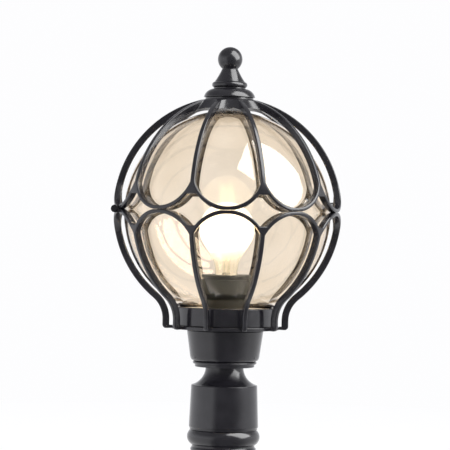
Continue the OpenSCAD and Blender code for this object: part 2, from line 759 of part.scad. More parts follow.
module finial() color(iron) {
    edge = finial_ring_h / 2;
    ring_z = finial_z + finial_foot_h + edge;
    foot_r = finial_ring_r - edge + 0.6;
    tip_r = finial_ball_r * 0.65;
    chord = sqrt(pow(foot_r - tip_r, 2) + pow(finial_cone_h, 2));
    hollow_r = chord * 2.2;
    reach = sqrt(pow(hollow_r, 2) - pow(chord / 2, 2)) / chord;
    rotate_extrude() difference() {
        union() {
            translate([0, finial_z]) square([finial_ring_r - edge * 0.6, finial_foot_h + over]);
            translate([0, finial_z + finial_foot_h]) square([finial_ring_r - edge, finial_ring_h]);
            translate([finial_ring_r - edge, ring_z]) circle(r = edge);
            difference() {
                translate([0, cone_z - over]) square([foot_r, finial_cone_h + over]);
                translate([
                    (foot_r + tip_r) / 2 + finial_cone_h * reach,
                    cone_z + finial_cone_h / 2 + (foot_r - tip_r) * reach
                ]) circle(r = hollow_r);
            }
            intersection() {
                translate([0, ball_z]) circle(r = finial_ball_r);
                translate([0, ball_z - finial_ball_r]) square(2 * finial_ball_r);
            }
        }
        translate([0, finial_z - over]) square([stud_r + slack, stud_high_z - finial_z + 0.5 + over]);
    }
}

module clamp_screw() color(steel) translate([0, 0, eq_z + clamp_h]) at_clamp() {
    tip = in_r - tab_off + 0.4;
    head = cage_r + over + 0.1;
    translate([tip, 0, 0]) rotate([0, 90, 0]) cylinder(r = clamp_screw_r, h = head - tip);
    difference() {
        translate([head, 0, 0]) rotate([0, 90, 0]) cylinder(r = clamp_screw_r * 1.8, h = 2.4);
        translate([head + 1.4, -5, -0.5]) cube([2, 10, 1]);
    }
}

// Side view of the bulb's glass, grown by d
module bulb_2d(d) {
    neck_r = bulb_cap_r - 0.65 + d;
    translate([0, bulb_z]) circle(r = bulb_r + d);
    polygon([
        [0, cap_rim_z - 12 - d], [neck_r, cap_rim_z - 12 - d], [neck_r, cap_rim_z + 4],
        [neck_r + 0.8, cap_rim_z + 10], [neck_r + 3, cap_rim_z + 17.5],
        [(bulb_r + d) * 0.85, bulb_z - (bulb_r + d) * 0.49], [0, bulb_z]
    ]);
}

module bulb_glass() color([1, 0.97, 0.88, 0.5]) rotate_extrude() difference() {
    bulb_2d(0);
    bulb_2d(-bulb_wall);
    translate([-2 * bulb_r, 0]) square([2 * bulb_r, 4 * eq_z]);
}

module bulb_cap() color("#d8d4c8") difference() {
    shaft(bulb_cap_r, tip_z + 5, cap_rim_z - tip_z - 5);
    shaft(bulb_cap_r - 0.6, tip_z + 5.6, cap_rim_z - tip_z);
    shaft(bulb_cap_r - 4, tip_z, 10);
}

module bulb_insulator() color("#1a1a1a") translate([0, 0, tip_z + 1.4]) {
    cylinder(r1 = 5.5, r2 = bulb_cap_r - 3, h = 3.6);
    cylinder(r = bulb_cap_r - 4.05, h = 4.8);
}

module bulb_contact() color("#c9c9c9") translate([0, 0, tip_z]) cylinder(r1 = 3.2, r2 = 4.6, h = 1.4);

module bulb_stem() color([1, 1, 1, 0.5]) {
    foot_r = bulb_cap_r - 0.9 - bulb_wall - 0.3;
    foot_z = cap_rim_z - 9;
    translate([0, 0, foot_z]) cylinder(r1 = foot_r, r2 = 4, h = 12);
    shaft(4, foot_z + 11, 14);
    shaft(1.6, foot_z + 24, bulb_z - bulb_r * 0.1 - foot_z - 24);
}

// Four upright light sticks on bent wires round the stem's tip
module bulb_filaments() color("#ffd27a") {
    low = bulb_z - filament_len * 0.55;
    around(4, 45) {
        translate([8.5, 0, low]) cylinder(r = 1, h = filament_len);
        translate([0, 0, low + filament_len - 2]) rotate([0, 90, 0]) cylinder(r = 0.35, h = 8.5);
        translate([1.9, 0, low + 2]) rotate([0, 90, 0]) cylinder(r = 0.35, h = 6.6);
    }
    shaft(1.9, low + filament_len - 3, 2.4);
}

post_sleeve();
set_screws();
stem();
stem_nuts();
stem_washers();
neck();
cup();
rain_seal();
lower_cage();
hinge_pins();
gallery();
cup_screws();
globe_seal();
globe();
holder_strap();
strap_screws();
lampholder();
holder_shell();
holder_contact();
holder_screws();
terminal_block();
terminal_screws();
lamp_leads();
earth_lead();
earth_screw();
upper_cage();
crown_cap();
top_stud();
top_washer();
top_nut();
finial();
clamp_screw();
bulb_glass();
bulb_cap();
bulb_insulator();
bulb_contact();
bulb_stem();
bulb_filaments();
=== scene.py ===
"""Post-top garden lantern: a blown glass globe in a hinged cage of ten cast ribs, on a turned post socket.

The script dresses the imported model. Surfaces are worked out in millimetres, with Z up and the viewer on -Y.
"""

import json
import math

import bmesh
import bpy
import numpy as np
from bpy.props import FloatProperty, FloatVectorProperty, PointerProperty
from mathutils import Matrix, Vector


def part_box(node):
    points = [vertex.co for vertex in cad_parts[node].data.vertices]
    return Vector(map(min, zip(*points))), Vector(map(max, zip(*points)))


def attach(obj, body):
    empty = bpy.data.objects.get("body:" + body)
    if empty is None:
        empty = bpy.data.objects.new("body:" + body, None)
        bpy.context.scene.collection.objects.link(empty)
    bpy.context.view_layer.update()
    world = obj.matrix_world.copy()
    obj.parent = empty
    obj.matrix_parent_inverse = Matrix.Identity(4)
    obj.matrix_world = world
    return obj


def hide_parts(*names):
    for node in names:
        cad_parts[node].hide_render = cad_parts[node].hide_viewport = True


bl_info = {
    "name": "Garden globe lantern",
    "version": (1, 0, 0),
    "blender": (4, 5, 0),
    "location": "View3D > Sidebar > Lantern",
    "description": "Builds the castings, glass and lamp of a post-top garden lantern round its model",
    "category": "Object",
}

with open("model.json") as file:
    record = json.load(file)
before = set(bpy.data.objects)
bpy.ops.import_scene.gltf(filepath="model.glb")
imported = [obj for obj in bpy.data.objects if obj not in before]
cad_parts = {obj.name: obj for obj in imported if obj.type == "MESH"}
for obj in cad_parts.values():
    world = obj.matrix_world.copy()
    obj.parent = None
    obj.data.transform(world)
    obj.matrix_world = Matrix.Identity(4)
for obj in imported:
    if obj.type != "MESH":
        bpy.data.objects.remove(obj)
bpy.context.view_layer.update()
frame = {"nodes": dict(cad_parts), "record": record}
MM = 0.001


def node_low(node):
    """Lowest height of a CAD node, in millimetres."""
    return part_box(node)[0][2] / MM


def node_high(node):
    """Greatest height of a CAD node, in millimetres."""
    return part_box(node)[1][2] / MM


# Heights of the castings' seats, read from the model so that the looks follow it
NECK_Z = node_low("neck")
CUP_Z = node_low("cup")
RIM_Z = node_low("rain_seal")
PLATE_Z = node_low("lower_cage")
GALLERY_Z = node_low("gallery")
SEAT_Z = node_low("globe_seal")
CROWN_Z = node_low("crown_cap")
FINIAL_Z = node_low("finial")
HOLDER_Z = node_low("lampholder")
TIP_Z = node_low("bulb_contact")
BULB_TOP_Z = node_high("bulb_glass")


def to_linear(colour):
    """An sRGB hex colour as the linear red, green and blue that Blender's colours use."""
    code = np.array([int(colour[i:i + 2], 16) for i in (1, 3, 5)]) / 255.0
    return tuple(np.where(code <= 0.04045, code / 12.92, ((code + 0.055) / 1.055) ** 2.4))


# Sizes and colours that a user would change

def size(name, text, default, low=0.1, high=500.0):
    """A size property, in millimetres unless its text says degrees."""
    return FloatProperty(name=name, description=text, default=default, min=low, max=high)


def colour(name, text, default):
    """A colour property whose default is an sRGB hex value."""
    return FloatVectorProperty(name=name, description=text, default=to_linear(default), size=3,
                               subtype="COLOR", min=0.0, max=1.0)


class LanternSizes(bpy.types.PropertyGroup):
    """Lengths in millimetres and angles in degrees, the same as the model's."""
    cage_r: size("Cage radius", "Outer radius of the rib cage, mm", 125.0)
    cage_rise: size("Cage rise", "Height of the cage's parting plane above the foot plate, mm", 129.6)
    rib_depth: size("Rib depth", "Depth of a rib towards the middle, mm", 7.5)
    rib_w: size("Rib width", "Width of a rib seen from outside, mm", 5.0)
    rim_h: size("Rim height", "Height of the scalloped rim at a bay's middle, mm", 4.0)
    rim_side: size("Rim side", "Width of the rim beside the openings between scallops, mm", 3.5)
    lozenge_h: size("Opening height", "Height of the opening above the parting plane, mm", 16.5)
    arch_extra: size("Arch extra", "Half the extra width of the lower arches, degrees", 1.1, 0.0, 3.0)
    crown_polar: size("Window top", "Angle from the top to the windows' round tops, degrees", 27.1, 15, 40)
    leg_r: size("Leg radius", "Radius at which the legs stand, mm", 69.0)
    bend_r: size("Leg bend", "Radius of the legs' outward bend, mm", 30.0)
    plate_r: size("Foot plate", "Radius of the foot plate, mm", 59.0)
    plate_t: size("Plate thickness", "Thickness of the foot plate, mm", 3.8)
    edge_r: size("Casting edge", "Roundness of the cage's cast edges, mm", 1.35)
    globe_r: size("Globe radius", "Outer radius of the glass globe, mm", 113.2)
    globe_z: size("Globe centre", "Height of the globe's centre, mm", 276.5)
    glass_t: size("Glass wall", "Thickness of the globe's glass, mm", 3.0)
    bulb_r: size("Bulb radius", "Radius of the lamp's envelope, mm", 30.0)


class LanternColours(bpy.types.PropertyGroup):
    """Colours of the lantern's finishes."""
    paint: colour("Powder coat", "Black powder coat of the castings", "#161519")
    paint_light: colour("Powder coat, light", "Lighter grain in the powder coat", "#1E1D21")
    globe: colour("Globe glass", "Colour that a thick piece of the globe's glass turns light to", "#E8D0A2")
    rubber: colour("Rubber", "Weather seals", "#202022")
    resin: colour("Black resin", "Moulded lampholder", "#2F312C")
    cream: colour("Cream resin", "Moulded terminal block", "#E4DFD0")
    filament: colour("Filament", "Light of the lamp", "#FFD9A0")


def sizes():
    """The scene's sizes."""
    return bpy.context.scene.lantern_sizes


def colours():
    """The scene's colours."""
    return bpy.context.scene.lantern_colours


# Points and faces

def grid_faces(rows, cols, close_rows=False, close_cols=False):
    """Corner numbers of the quads between neighbouring rows and columns of a grid, as an (n, 4) array."""
    r, c = np.meshgrid(np.arange(rows - (not close_rows)), np.arange(cols - (not close_cols)), indexing="ij")
    r2, c2 = (r + 1) % rows, (c + 1) % cols
    return np.stack([r * cols + c, r * cols + c2, r2 * cols + c2, r2 * cols + c], -1).reshape(-1, 4)


def unit(v):
    """Vectors of length one, along the last axis."""
    return v / np.maximum(np.linalg.norm(v, axis=-1, keepdims=True), 1e-9)


def arc(x, z, r, start, end, count=12):
    """Points on a circle of radius r about (x, z), from one angle to another in degrees."""
    a = np.radians(np.linspace(start, end, count))
    return np.stack([x + r * np.cos(a), z + r * np.sin(a), 0 * a], -1)


def outline(*pieces):
    """Joins corners (distance, height, rounding) and arcs to one outline. A corner with rounding L is left
    for the blend corner + before * L * (1 - sin t) + after * L * (1 - cos t), before and after pointing
    along its sides."""
    c = np.vstack([np.atleast_2d(np.asarray(p, float)) for p in pieces])
    c = c[np.r_[True, np.linalg.norm(np.diff(c[:, :2], axis=0), axis=1) > 1e-4]]
    before, after = np.roll(c, 1, 0)[:, :2] - c[:, :2], np.roll(c, -1, 0)[:, :2] - c[:, :2]
    side = np.minimum(np.linalg.norm(before, axis=1), np.linalg.norm(after, axis=1))
    blend = np.minimum(c[:, 2], side * 0.48)[:, None, None]
    t = np.linspace(0, np.pi / 2, 7)[None, :, None]
    cut = unit(before)[:, None] * (1 - np.sin(t)) + unit(after)[:, None] * (1 - np.cos(t))
    p = (c[:, None, :2] + blend * cut).reshape(-1, 2)
    return p[np.r_[True, np.linalg.norm(np.diff(p, axis=0), axis=1) > 1e-4]]


def turned(line, turns=160, closed=True):
    """A turned form: the outline's (distance r, height z) carried round the upright axis by the angle a, as
    x = r sin a, y = -r cos a. A closed outline gives a ring, an open one runs from axis to axis."""
    a = np.linspace(0, 2 * np.pi, turns, endpoint=False)[:, None]
    r, z = line[None, :, 0], line[None, :, 1]
    return np.stack([r * np.sin(a), -r * np.cos(a), z + 0 * a], -1).reshape(-1, 3), \
        grid_faces(turns, len(line), True, closed)


def along(path, r, sides=16):
    """A round bar with hemispherical ends along a path: every ring is centre + r (n cos a + b sin a), n and
    b being square to the path, and past the path's ends the rings go out as r sin c and shrink as r cos
    c."""
    path = np.asarray(path, float)
    way = unit(np.gradient(path, axis=0))
    cap = np.radians(np.linspace(90, 0, 6))[:-1]
    past = r * np.sin(cap)[:, None]
    centres = np.vstack([path[0] - way[0] * past, path, path[-1] + way[-1] * past[::-1]])
    radii = np.r_[r * np.cos(cap), np.full(len(path), r), r * np.cos(cap[::-1])]
    ways = np.vstack([np.repeat(way[:1], len(cap), 0), way, np.repeat(way[-1:], len(cap), 0)])
    side = np.where(np.abs(way[0]).argmin() == np.arange(3), 1.0, 0.0)
    n = unit(np.cross(ways, side))
    b = np.cross(ways, n)
    a = np.linspace(0, 2 * np.pi, sides, endpoint=False)[None, :, None]
    ring = centres[:, None] + radii[:, None, None] * (n[:, None] * np.cos(a) + b[:, None] * np.sin(a))
    return ring.reshape(-1, 3), grid_faces(len(centres), sides, False, True)


def placed(part, matrix=None, shift=(0, 0, 0)):
    """A part turned by a 3 by 3 matrix and then shifted."""
    points, *faces = part
    if matrix is not None:
        points = points @ np.asarray(matrix, float).T
    return (points + np.asarray(shift, float), *faces)


def about_z(degrees):
    """Turns about the upright axis, counter-clockwise seen from above."""
    c, s = math.cos(math.radians(degrees)), math.sin(math.radians(degrees))
    return np.array([[c, -s, 0], [s, c, 0], [0, 0, 1]])


Z_TO_Y = np.array([[1, 0, 0], [0, 0, 1], [0, -1, 0]])
Z_TO_X = np.array([[0, 0, 1], [0, 1, 0], [-1, 0, 0]])


def block(low, high, soft=0.6, steps=5):
    """A block with soft edges: a ball of radius soft, cut in eight parts that stand at the corners of the
    inner box, with flat faces between them. A point is its corner plus soft times the ball's direction."""
    low, high = np.asarray(low, float), np.asarray(high, float)
    inner = (high - low) / 2 - soft
    v = np.radians(np.r_[np.linspace(-90, 0, steps), np.linspace(0, 90, steps)])
    h = np.radians(np.concatenate([np.linspace(q * 90, q * 90 + 90, steps) for q in range(4)]))
    sign_z = np.r_[-np.ones(steps), np.ones(steps)]
    quad = np.repeat(np.arange(4), steps)
    sign_x, sign_y = np.array([1, -1, -1, 1])[quad], np.array([1, 1, -1, -1])[quad]
    v, h = v[:, None], h[None, :]
    d = np.stack([np.cos(v) * np.cos(h), np.cos(v) * np.sin(h), np.sin(v) + 0 * h], -1)
    corner = inner * np.stack(np.broadcast_arrays(sign_x[None], sign_y[None], sign_z[:, None]), -1)
    points = (low + high) / 2 + corner + soft * d
    count = 4 * steps
    cap_low, cap_high = np.arange(count)[None, ::-1], (np.arange(count) + (2 * steps - 1) * count)[None]
    return points.reshape(-1, 3), grid_faces(2 * steps, count, False, True), cap_low, cap_high


def mesh_of(name, parts):
    """One mesh of several parts, in metres, with doubles merged and faces turned outwards."""
    points, faces, start = [], [], 0
    for part in parts:
        points.append(part[0])
        for group in part[1:]:
            faces += (np.asarray(group) + start).tolist()
        start += len(part[0])
    mesh = bpy.data.meshes.new(name)
    mesh.from_pydata((np.vstack(points) * MM).tolist(), [], faces)
    work = bmesh.new()
    work.from_mesh(mesh)
    bmesh.ops.remove_doubles(work, verts=work.verts, dist=2e-6)
    loose = [e for e in work.edges if not e.link_faces]
    bmesh.ops.delete(work, geom=loose, context="EDGES")
    bmesh.ops.recalc_face_normals(work, faces=work.faces)
    work.to_mesh(mesh)
    work.free()
    mesh.polygons.foreach_set("use_smooth", np.ones(len(mesh.polygons), bool))
    return mesh


def piece(name, parts, body, slot, *stands_for, weighted=True):
    """A finished piece at the origin: mesh, slot's material, CAD body, slot and the CAD nodes it stands
    for."""
    obj = bpy.data.objects.new(name, mesh_of(name, parts))
    bpy.context.scene.collection.objects.link(obj)
    obj.data.materials.append(finish_of(slot))
    if weighted:
        even = obj.modifiers.new("Even shading", "WEIGHTED_NORMAL")
        even.keep_sharp = True
    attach(obj, body)
    if stands_for:
        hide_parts(*stands_for)
    return obj


# Materials

# The part of its range that a noise pattern's value mostly lies in
MIDDLE = (0.35, 0.65)
TIMES = {"operation": "MULTIPLY"}


def input_of(node, key):
    """A node's input by its name, with _ for a space, or by its number, as _0, _1 and so on."""
    return node.inputs[int(key[1:]) if key[1:].isdigit() else key.replace("_", " ")]


def join(node, **links):
    """Joins a node's inputs to other nodes' outputs. A node given whole stands for its first output."""
    for key, source in links.items():
        output = source.outputs[0] if isinstance(source, bpy.types.Node) else source
        node.id_data.links.new(output, input_of(node, key))


def add_node(tree, kind, settings=None, **links):
    """Adds a shader node and joins it. Settings name its properties or, where it has none of that name, its
    inputs, and the stops of a colour ramp are pairs of position and linear colour."""
    node = tree.nodes.new("ShaderNode" + kind)
    for key, value in (settings or {}).items():
        if key == "stops":
            for stop, (position, tone) in zip(node.color_ramp.elements, value):
                stop.position = position
                stop.color = (*tone, 1)
        elif hasattr(node, key):
            setattr(node, key, value)
        else:
            input_of(node, key).default_value = value
    join(node, **links)
    return node


def emptied(owner):
    """The node tree of a material or world, with nothing in it."""
    owner.use_nodes = True
    owner.node_tree.nodes.clear()
    return owner.node_tree


def new_material(name, settings):
    """A material with one shader: the material, its tree, the shader and the object coordinates."""
    material = bpy.data.materials.new(name)
    tree = emptied(material)
    shader = add_node(tree, "BsdfPrincipled", settings)
    add_node(tree, "OutputMaterial", Surface=shader)
    return material, tree, shader, add_node(tree, "TexCoord").outputs["Object"]


def powder_coat():
    """Black powder coat on a gravity casting: an even semi-gloss film with the orange peel that the powder
    leaves as it melts, a ripple about 2.5 mm wide and 20 microns deep, over the slow swell of the cast
    skin."""
    material, tree, shader, place = new_material("powder_coat_black", {"IOR": 1.52})
    peel = add_node(tree, "TexNoise", {
        "Scale": 420.0, "Detail": 2.0, "Roughness": 0.45,
    }, Vector=place)
    swell = add_node(tree, "TexNoise", {"Scale": 55.0, "Detail": 1.0}, Vector=place)
    tones = (colours().paint, colours().paint_light)
    tint = add_node(tree, "ValToRGB", {"stops": zip(MIDDLE, tones)}, Fac=swell)
    gloss = add_node(tree, "MapRange", {
        "From_Min": 0.3, "From_Max": 0.7, "To_Min": 0.15, "To_Max": 0.22,
    }, Value=swell)
    skin = add_node(tree, "Math", {"operation": "MULTIPLY_ADD", "_1": 3.0}, _0=swell, _2=peel)
    bump = add_node(tree, "Bump", {"Distance": 0.00006, "Strength": 0.6}, Height=skin)
    join(shader, Base_Color=tint, Roughness=gloss, Normal=bump)
    return material


def blown_glass():
    """Soda-lime glass blown in a mould: clear skins over a body that swallows blue light on its way through,
    so that the tint deepens where the wall is seen edge on, and slow waves, about 40 mm long, that bend what
    it mirrors."""
    material, tree, shader, place = new_material("blown_glass_amber", {
        "Transmission_Weight": 1.0, "Roughness": 0.0, "IOR": 1.5,
    })
    wave = add_node(tree, "TexNoise", {
        "Scale": 24.0, "Detail": 1.0, "Roughness": 0.4,
    }, Vector=place)
    tones = (to_linear("#FFFEFC"), to_linear("#FAF8F4"))
    tone = add_node(tree, "ValToRGB", {"stops": zip(MIDDLE, tones)}, Fac=wave)
    bump = add_node(tree, "Bump", {"Distance": 0.0012, "Strength": 0.35}, Height=wave)
    join(shader, Base_Color=tone, Normal=bump)
    body = add_node(tree, "VolumeAbsorption", {"Color": (*colours().globe, 1), "Density": 118.0})
    join(tree.nodes["Material Output"], Volume=body)
    return material


def lamp_glass():
    """The lit lamp's envelope: drawn glass with a faint haze inside. Its emission is a painted glow, standing
    in for the light sticks' light scattered in the haze: it is full at the ball's middle and sinks towards
    top and neck, and fine draw lines run upwards in it."""
    material, tree, shader, place = new_material("lamp_glass_hazed_painted_glow", {
        "Transmission_Weight": 1.0, "IOR": 1.45, "Emission_Color": (*to_linear("#FFF6E2"), 1),
    })
    stretch = add_node(tree, "Mapping", {"Scale": (1.0, 1.0, 0.06)}, Vector=place)
    wave = add_node(tree, "TexNoise", {"Scale": 260.0, "Detail": 2.0}, Vector=stretch)
    tones = (to_linear("#FFFDF8"), to_linear("#F4F0E4"))
    tone = add_node(tree, "ValToRGB", {"stops": zip(MIDDLE, tones)}, Fac=wave)
    height = add_node(tree, "SeparateXYZ", Vector=place).outputs["Z"]
    radius = sizes().bulb_r * MM
    middle = BULB_TOP_Z * MM - radius

    def up_the_ball(start, end, low, high):
        """A smooth change between two heights, which are given in the ball's radii from its middle."""
        return add_node(tree, "MapRange", {
            "interpolation_type": "SMOOTHERSTEP", "From_Min": middle + start * radius,
            "From_Max": middle + end * radius, "To_Min": low, "To_Max": high,
        }, Value=height)

    haze = up_the_ball(-1.4, -0.4, 0.07, 0.42)
    # rise and fall shape the painted glow: emission on the glass itself, strongest at the ball's middle, in
    # place of the light sticks' light scattered in it
    rise = up_the_ball(-1.5, 0.1, 0.05, 0.5)
    fall = up_the_ball(0.3, 1.05, 1.0, 0.45)
    lines = add_node(tree, "MapRange", {
        "From_Min": MIDDLE[0], "From_Max": MIDDLE[1], "To_Min": 0.75, "To_Max": 1.25,
    }, Value=wave)
    # Painted glow: the emission strength that the glass gives out, not light from the light sticks
    glow = add_node(tree, "Math", TIMES, _0=rise, _1=fall)
    glow = add_node(tree, "Math", TIMES, _0=glow, _1=lines)
    bump = add_node(tree, "Bump", {"Distance": 0.0003, "Strength": 0.3}, Height=wave)
    join(shader, Base_Color=tone, Roughness=haze, Emission_Strength=glow, Normal=bump)
    return material


def moulded(name, base, roughness):
    """A moulded rubber or resin: an even body colour with the mould's fine grain, about a millimetre
    across."""
    material, tree, shader, place = new_material(name, {"Roughness": roughness})
    grain = add_node(tree, "TexNoise", {"Scale": 900.0, "Detail": 2.0}, Vector=place)
    tones = [np.minimum(np.array(base[:]) * share, 1) for share in (0.93, 1.07)]
    tint = add_node(tree, "ValToRGB", {"stops": zip(MIDDLE, tones)}, Fac=grain)
    bump = add_node(tree, "Bump", {"Distance": 0.00003, "Strength": 0.5}, Height=grain)
    join(shader, Base_Color=tint, Normal=bump)
    return material


def metal(name, light, dark, roughness, lines=(1.0, 1.0, 1.0)):
    """A bare or plated metal: tone and gloss vary along the marks of its tool, drawn coarser than the real
    ones so that they show."""
    material, tree, shader, place = new_material(name, {"Metallic": 1.0})
    way = add_node(tree, "Mapping", {"Scale": lines}, Vector=place)
    marks = add_node(tree, "TexNoise", {"Scale": 700.0, "Detail": 3.0}, Vector=way)
    tones = (to_linear(dark), to_linear(light))
    tint = add_node(tree, "ValToRGB", {"stops": zip(MIDDLE, tones)}, Fac=marks)
    gloss = add_node(tree, "MapRange", {
        "To_Min": roughness * 0.8, "To_Max": roughness * 1.25,
    }, Value=marks)
    bump = add_node(tree, "Bump", {"Distance": 0.00001, "Strength": 0.5}, Height=marks)
    join(shader, Base_Color=tint, Roughness=gloss, Normal=bump)
    return material


def glowing():
    """The lamp's light sticks under power: a warm yellow-white glow, a little paler in spots, as their coat
    is uneven."""
    material, tree, shader, place = new_material("filament_glow", {
        "Emission_Strength": 26.0, "Roughness": 0.5,
    })
    coat = add_node(tree, "TexNoise", {"Scale": 500.0, "Detail": 1.0}, Vector=place)
    warm = np.array(colours().filament[:])
    tones = (warm, np.minimum(warm * (1.0, 1.12, 1.3), 1))
    tint = add_node(tree, "ValToRGB", {"stops": zip(MIDDLE, tones)}, Fac=coat)
    join(shader, Emission_Color=tint, Base_Color=tint)
    return material


FINISHES = {}


def finish_of(slot):
    """The material for a slot of the record, made once."""
    if slot not in FINISHES:
        c = colours()
        makers = {
            "black_paint": powder_coat,
            "amber_glass": blown_glass,
            "clear_glass": lamp_glass,
            "filament": glowing,
            "black_rubber": lambda: moulded("rubber_moulded_black", c.rubber, 0.62),
            "black_resin": lambda: moulded("resin_moulded_black", c.resin, 0.42),
            "cream_resin": lambda: moulded("resin_moulded_cream", c.cream, 0.48),
            "lead_sleeve": lambda: moulded("silicone_sleeve_cream", to_linear("#D8CDB8"), 0.5),
            "earth_sleeve": lambda: moulded("vinyl_sleeve_green_yellow", to_linear("#7FAE3C"), 0.4),
            "black_glaze": lambda: moulded("glass_glaze_black", to_linear("#151517"), 0.16),
            "steel": lambda: metal("stainless_steel_turned", "#B9BBBC", "#9C9EA0", 0.3, (1.0, 1.0, 8.0)),
            "zinc_steel": lambda: metal("steel_zinc_plated", "#C6C9CC", "#A4A8AC", 0.36),
            "brass": lambda: metal("brass_rolled", "#D8B46A", "#BE9648", 0.28, (1.0, 1.0, 5.0)),
            "cap_metal": lambda: metal("aluminium_rolled", "#DDDCD8", "#BFBEBA", 0.3, (1.0, 1.0, 5.0)),
            "solder": lambda: metal("solder_tin", "#CFCFCC", "#A9A9A6", 0.4),
        }
        FINISHES[slot] = makers[slot]()
    return FINISHES[slot]


# The cage's surface

BAYS = 10
BAY = 360 / BAYS

# Stations of a leg past the ball's degrees: end of the bend, start of the round toe, back of the foot, end of
# the toe, and end inside the plate
BEND_END, TOE_START, FOOT_BACK, TOE_END, PLATE_IN = 62, 65, 66.5, 68, 72

# Radius of the crown cap's seat, and half the gap between the halves' rims at the parting plane
CROWN_SEAT_R = 29.2
HALF_GAP = 0.15


def lean(length, r):
    """Angle in degrees whose sine is a length as a share of a radius."""
    return math.degrees(math.asin(length / r))


def circle_on_sphere(middle, half, turn):
    """Azimuth and elevation, in degrees, of points on a circle of angular radius half about the elevation
    middle. The direction is C cos half + (E sin turn - U cos turn) sin half, turn being 0 at the circle's
    foot."""
    c, h, t = np.radians(middle), np.radians(half), np.radians(turn)
    ahead = np.cos(h) * np.cos(c) + np.sin(h) * np.cos(t) * np.sin(c)
    aside = np.sin(h) * np.sin(t)
    up = np.cos(h) * np.sin(c) - np.sin(h) * np.cos(t) * np.cos(c)
    return np.degrees(np.arctan2(aside, ahead)), np.degrees(np.arcsin(up))


def turn_at(middle, half, height):
    """The circle's turn, in degrees, at which its point has that height as a share of the sphere's radius."""
    c, h = math.radians(middle), math.radians(half)
    cos = (math.cos(h) * math.sin(c) - height) / (math.sin(h) * math.cos(c))
    return math.degrees(math.acos(max(-1.0, min(1.0, cos))))


class Track:
    """The casting's side view: distance and height below or above the parting plane at station w. On the
    ball w is the elevation in degrees; past it w counts on through bend, leg and toe."""

    def __init__(self, w, rho, z):
        self.w, self.rho, self.z = w, rho, z

    def at(self, w):
        """Distance and height at the stations w."""
        return np.interp(w, self.w, self.rho), np.interp(w, self.w, self.z)

    def point(self, azimuth, w):
        """Points of the surface: the side view turned to an azimuth in degrees from the bay's middle."""
        rho, z = self.at(w)
        a = np.radians(azimuth)
        return np.stack([rho * np.sin(a), -rho * np.cos(a), z], -1)

    def rib_side(self, w):
        """Azimuth of the rib's flat flank, which is parallel to the rib's own middle plane."""
        return BAY / 2 - np.degrees(np.arcsin(sizes().rib_w / 2 / self.at(w)[0]))


def ball_track(r):
    """A sphere's side view."""
    w = np.linspace(0, 90, 181)
    return Track(w, r * np.cos(np.radians(w)) + 1e-9, r * np.sin(np.radians(w)))


def leg_track(depth):
    """Side view of the lower half on its outer skin, or at a depth on its inner one, heights counted
    downwards: ball, outward bend and leg, then outside a round toe and inside the plate's top."""
    s = sizes()
    middle = s.leg_r + s.bend_r
    drop = math.sqrt((s.cage_r + s.bend_r) ** 2 - middle ** 2)
    split = math.degrees(math.atan2(drop, middle))
    lines = [
        (0, split, arc(0, 0, s.cage_r - depth, 0, split, 110)),
        (split, BEND_END, arc(middle, drop, s.bend_r + depth, 180 + split, 180, 60)),
    ]
    sunk = 0.3
    if depth:
        plate_top = s.cage_rise - s.plate_t
        lines.append((FOOT_BACK, FOOT_BACK, [(s.leg_r - depth, plate_top, 0)]))
        lines.append((PLATE_IN, PLATE_IN, [(s.plate_r - 2, plate_top + sunk, 0)]))
    else:
        toe = 4.0
        lines.append((TOE_START, TOE_END, arc(s.leg_r - toe, s.cage_rise - toe, toe, 0, 90, 14)))
        lines.append((PLATE_IN, PLATE_IN, [(s.plate_r - 2, s.cage_rise - sunk, 0)]))
    table = np.vstack([
        np.column_stack([np.linspace(start, end, len(line)), line]) for start, end, line in lines
    ])
    table = table[np.r_[True, np.diff(table[:, 0]) > 0]]
    return Track(*table[:, :3].T)


def stations(*stretches):
    """Numbers that run on through stretches (start, end, count), with each joint between them once."""
    return np.concatenate([np.linspace(*stretch)[min(k, 1):] for k, stretch in enumerate(stretches)])


def run(azimuth, w, side=0.0, up=0.0):
    """Points of an edge, as rows of azimuth and station and of the direction (side, up) into the casting."""
    return np.stack(np.broadcast_arrays(azimuth, w, side, up))


def round_run(middle, half, turn):
    """The same rows along a circle on the sphere, with the direction away from its middle."""
    azimuth, w = circle_on_sphere(middle, half, turn)
    return run(azimuth, w, np.sin(np.radians(turn)), -np.cos(np.radians(turn)))


def shifted(track, edge, c):
    """Azimuths and stations of an edge moved by c mm across the surface into the casting."""
    azimuth, w, side, up = edge
    aside, upward = np.degrees(c * side / track.at(w)[0]), np.degrees(c * up / sizes().cage_r)
    return np.stack([azimuth + aside, w + upward])


def soft_corner(edge, first, second, steps=6):
    """The blend edge + (first - edge)(1 - sin t) + (second - edge)(1 - cos t) across a cast edge."""
    t = np.linspace(0, np.pi / 2, steps)[None, :, None]
    to_first, to_second = (first - edge)[:, None], (second - edge)[:, None]
    return edge[:, None] + to_first * (1 - np.sin(t)) + to_second * (1 - np.cos(t))


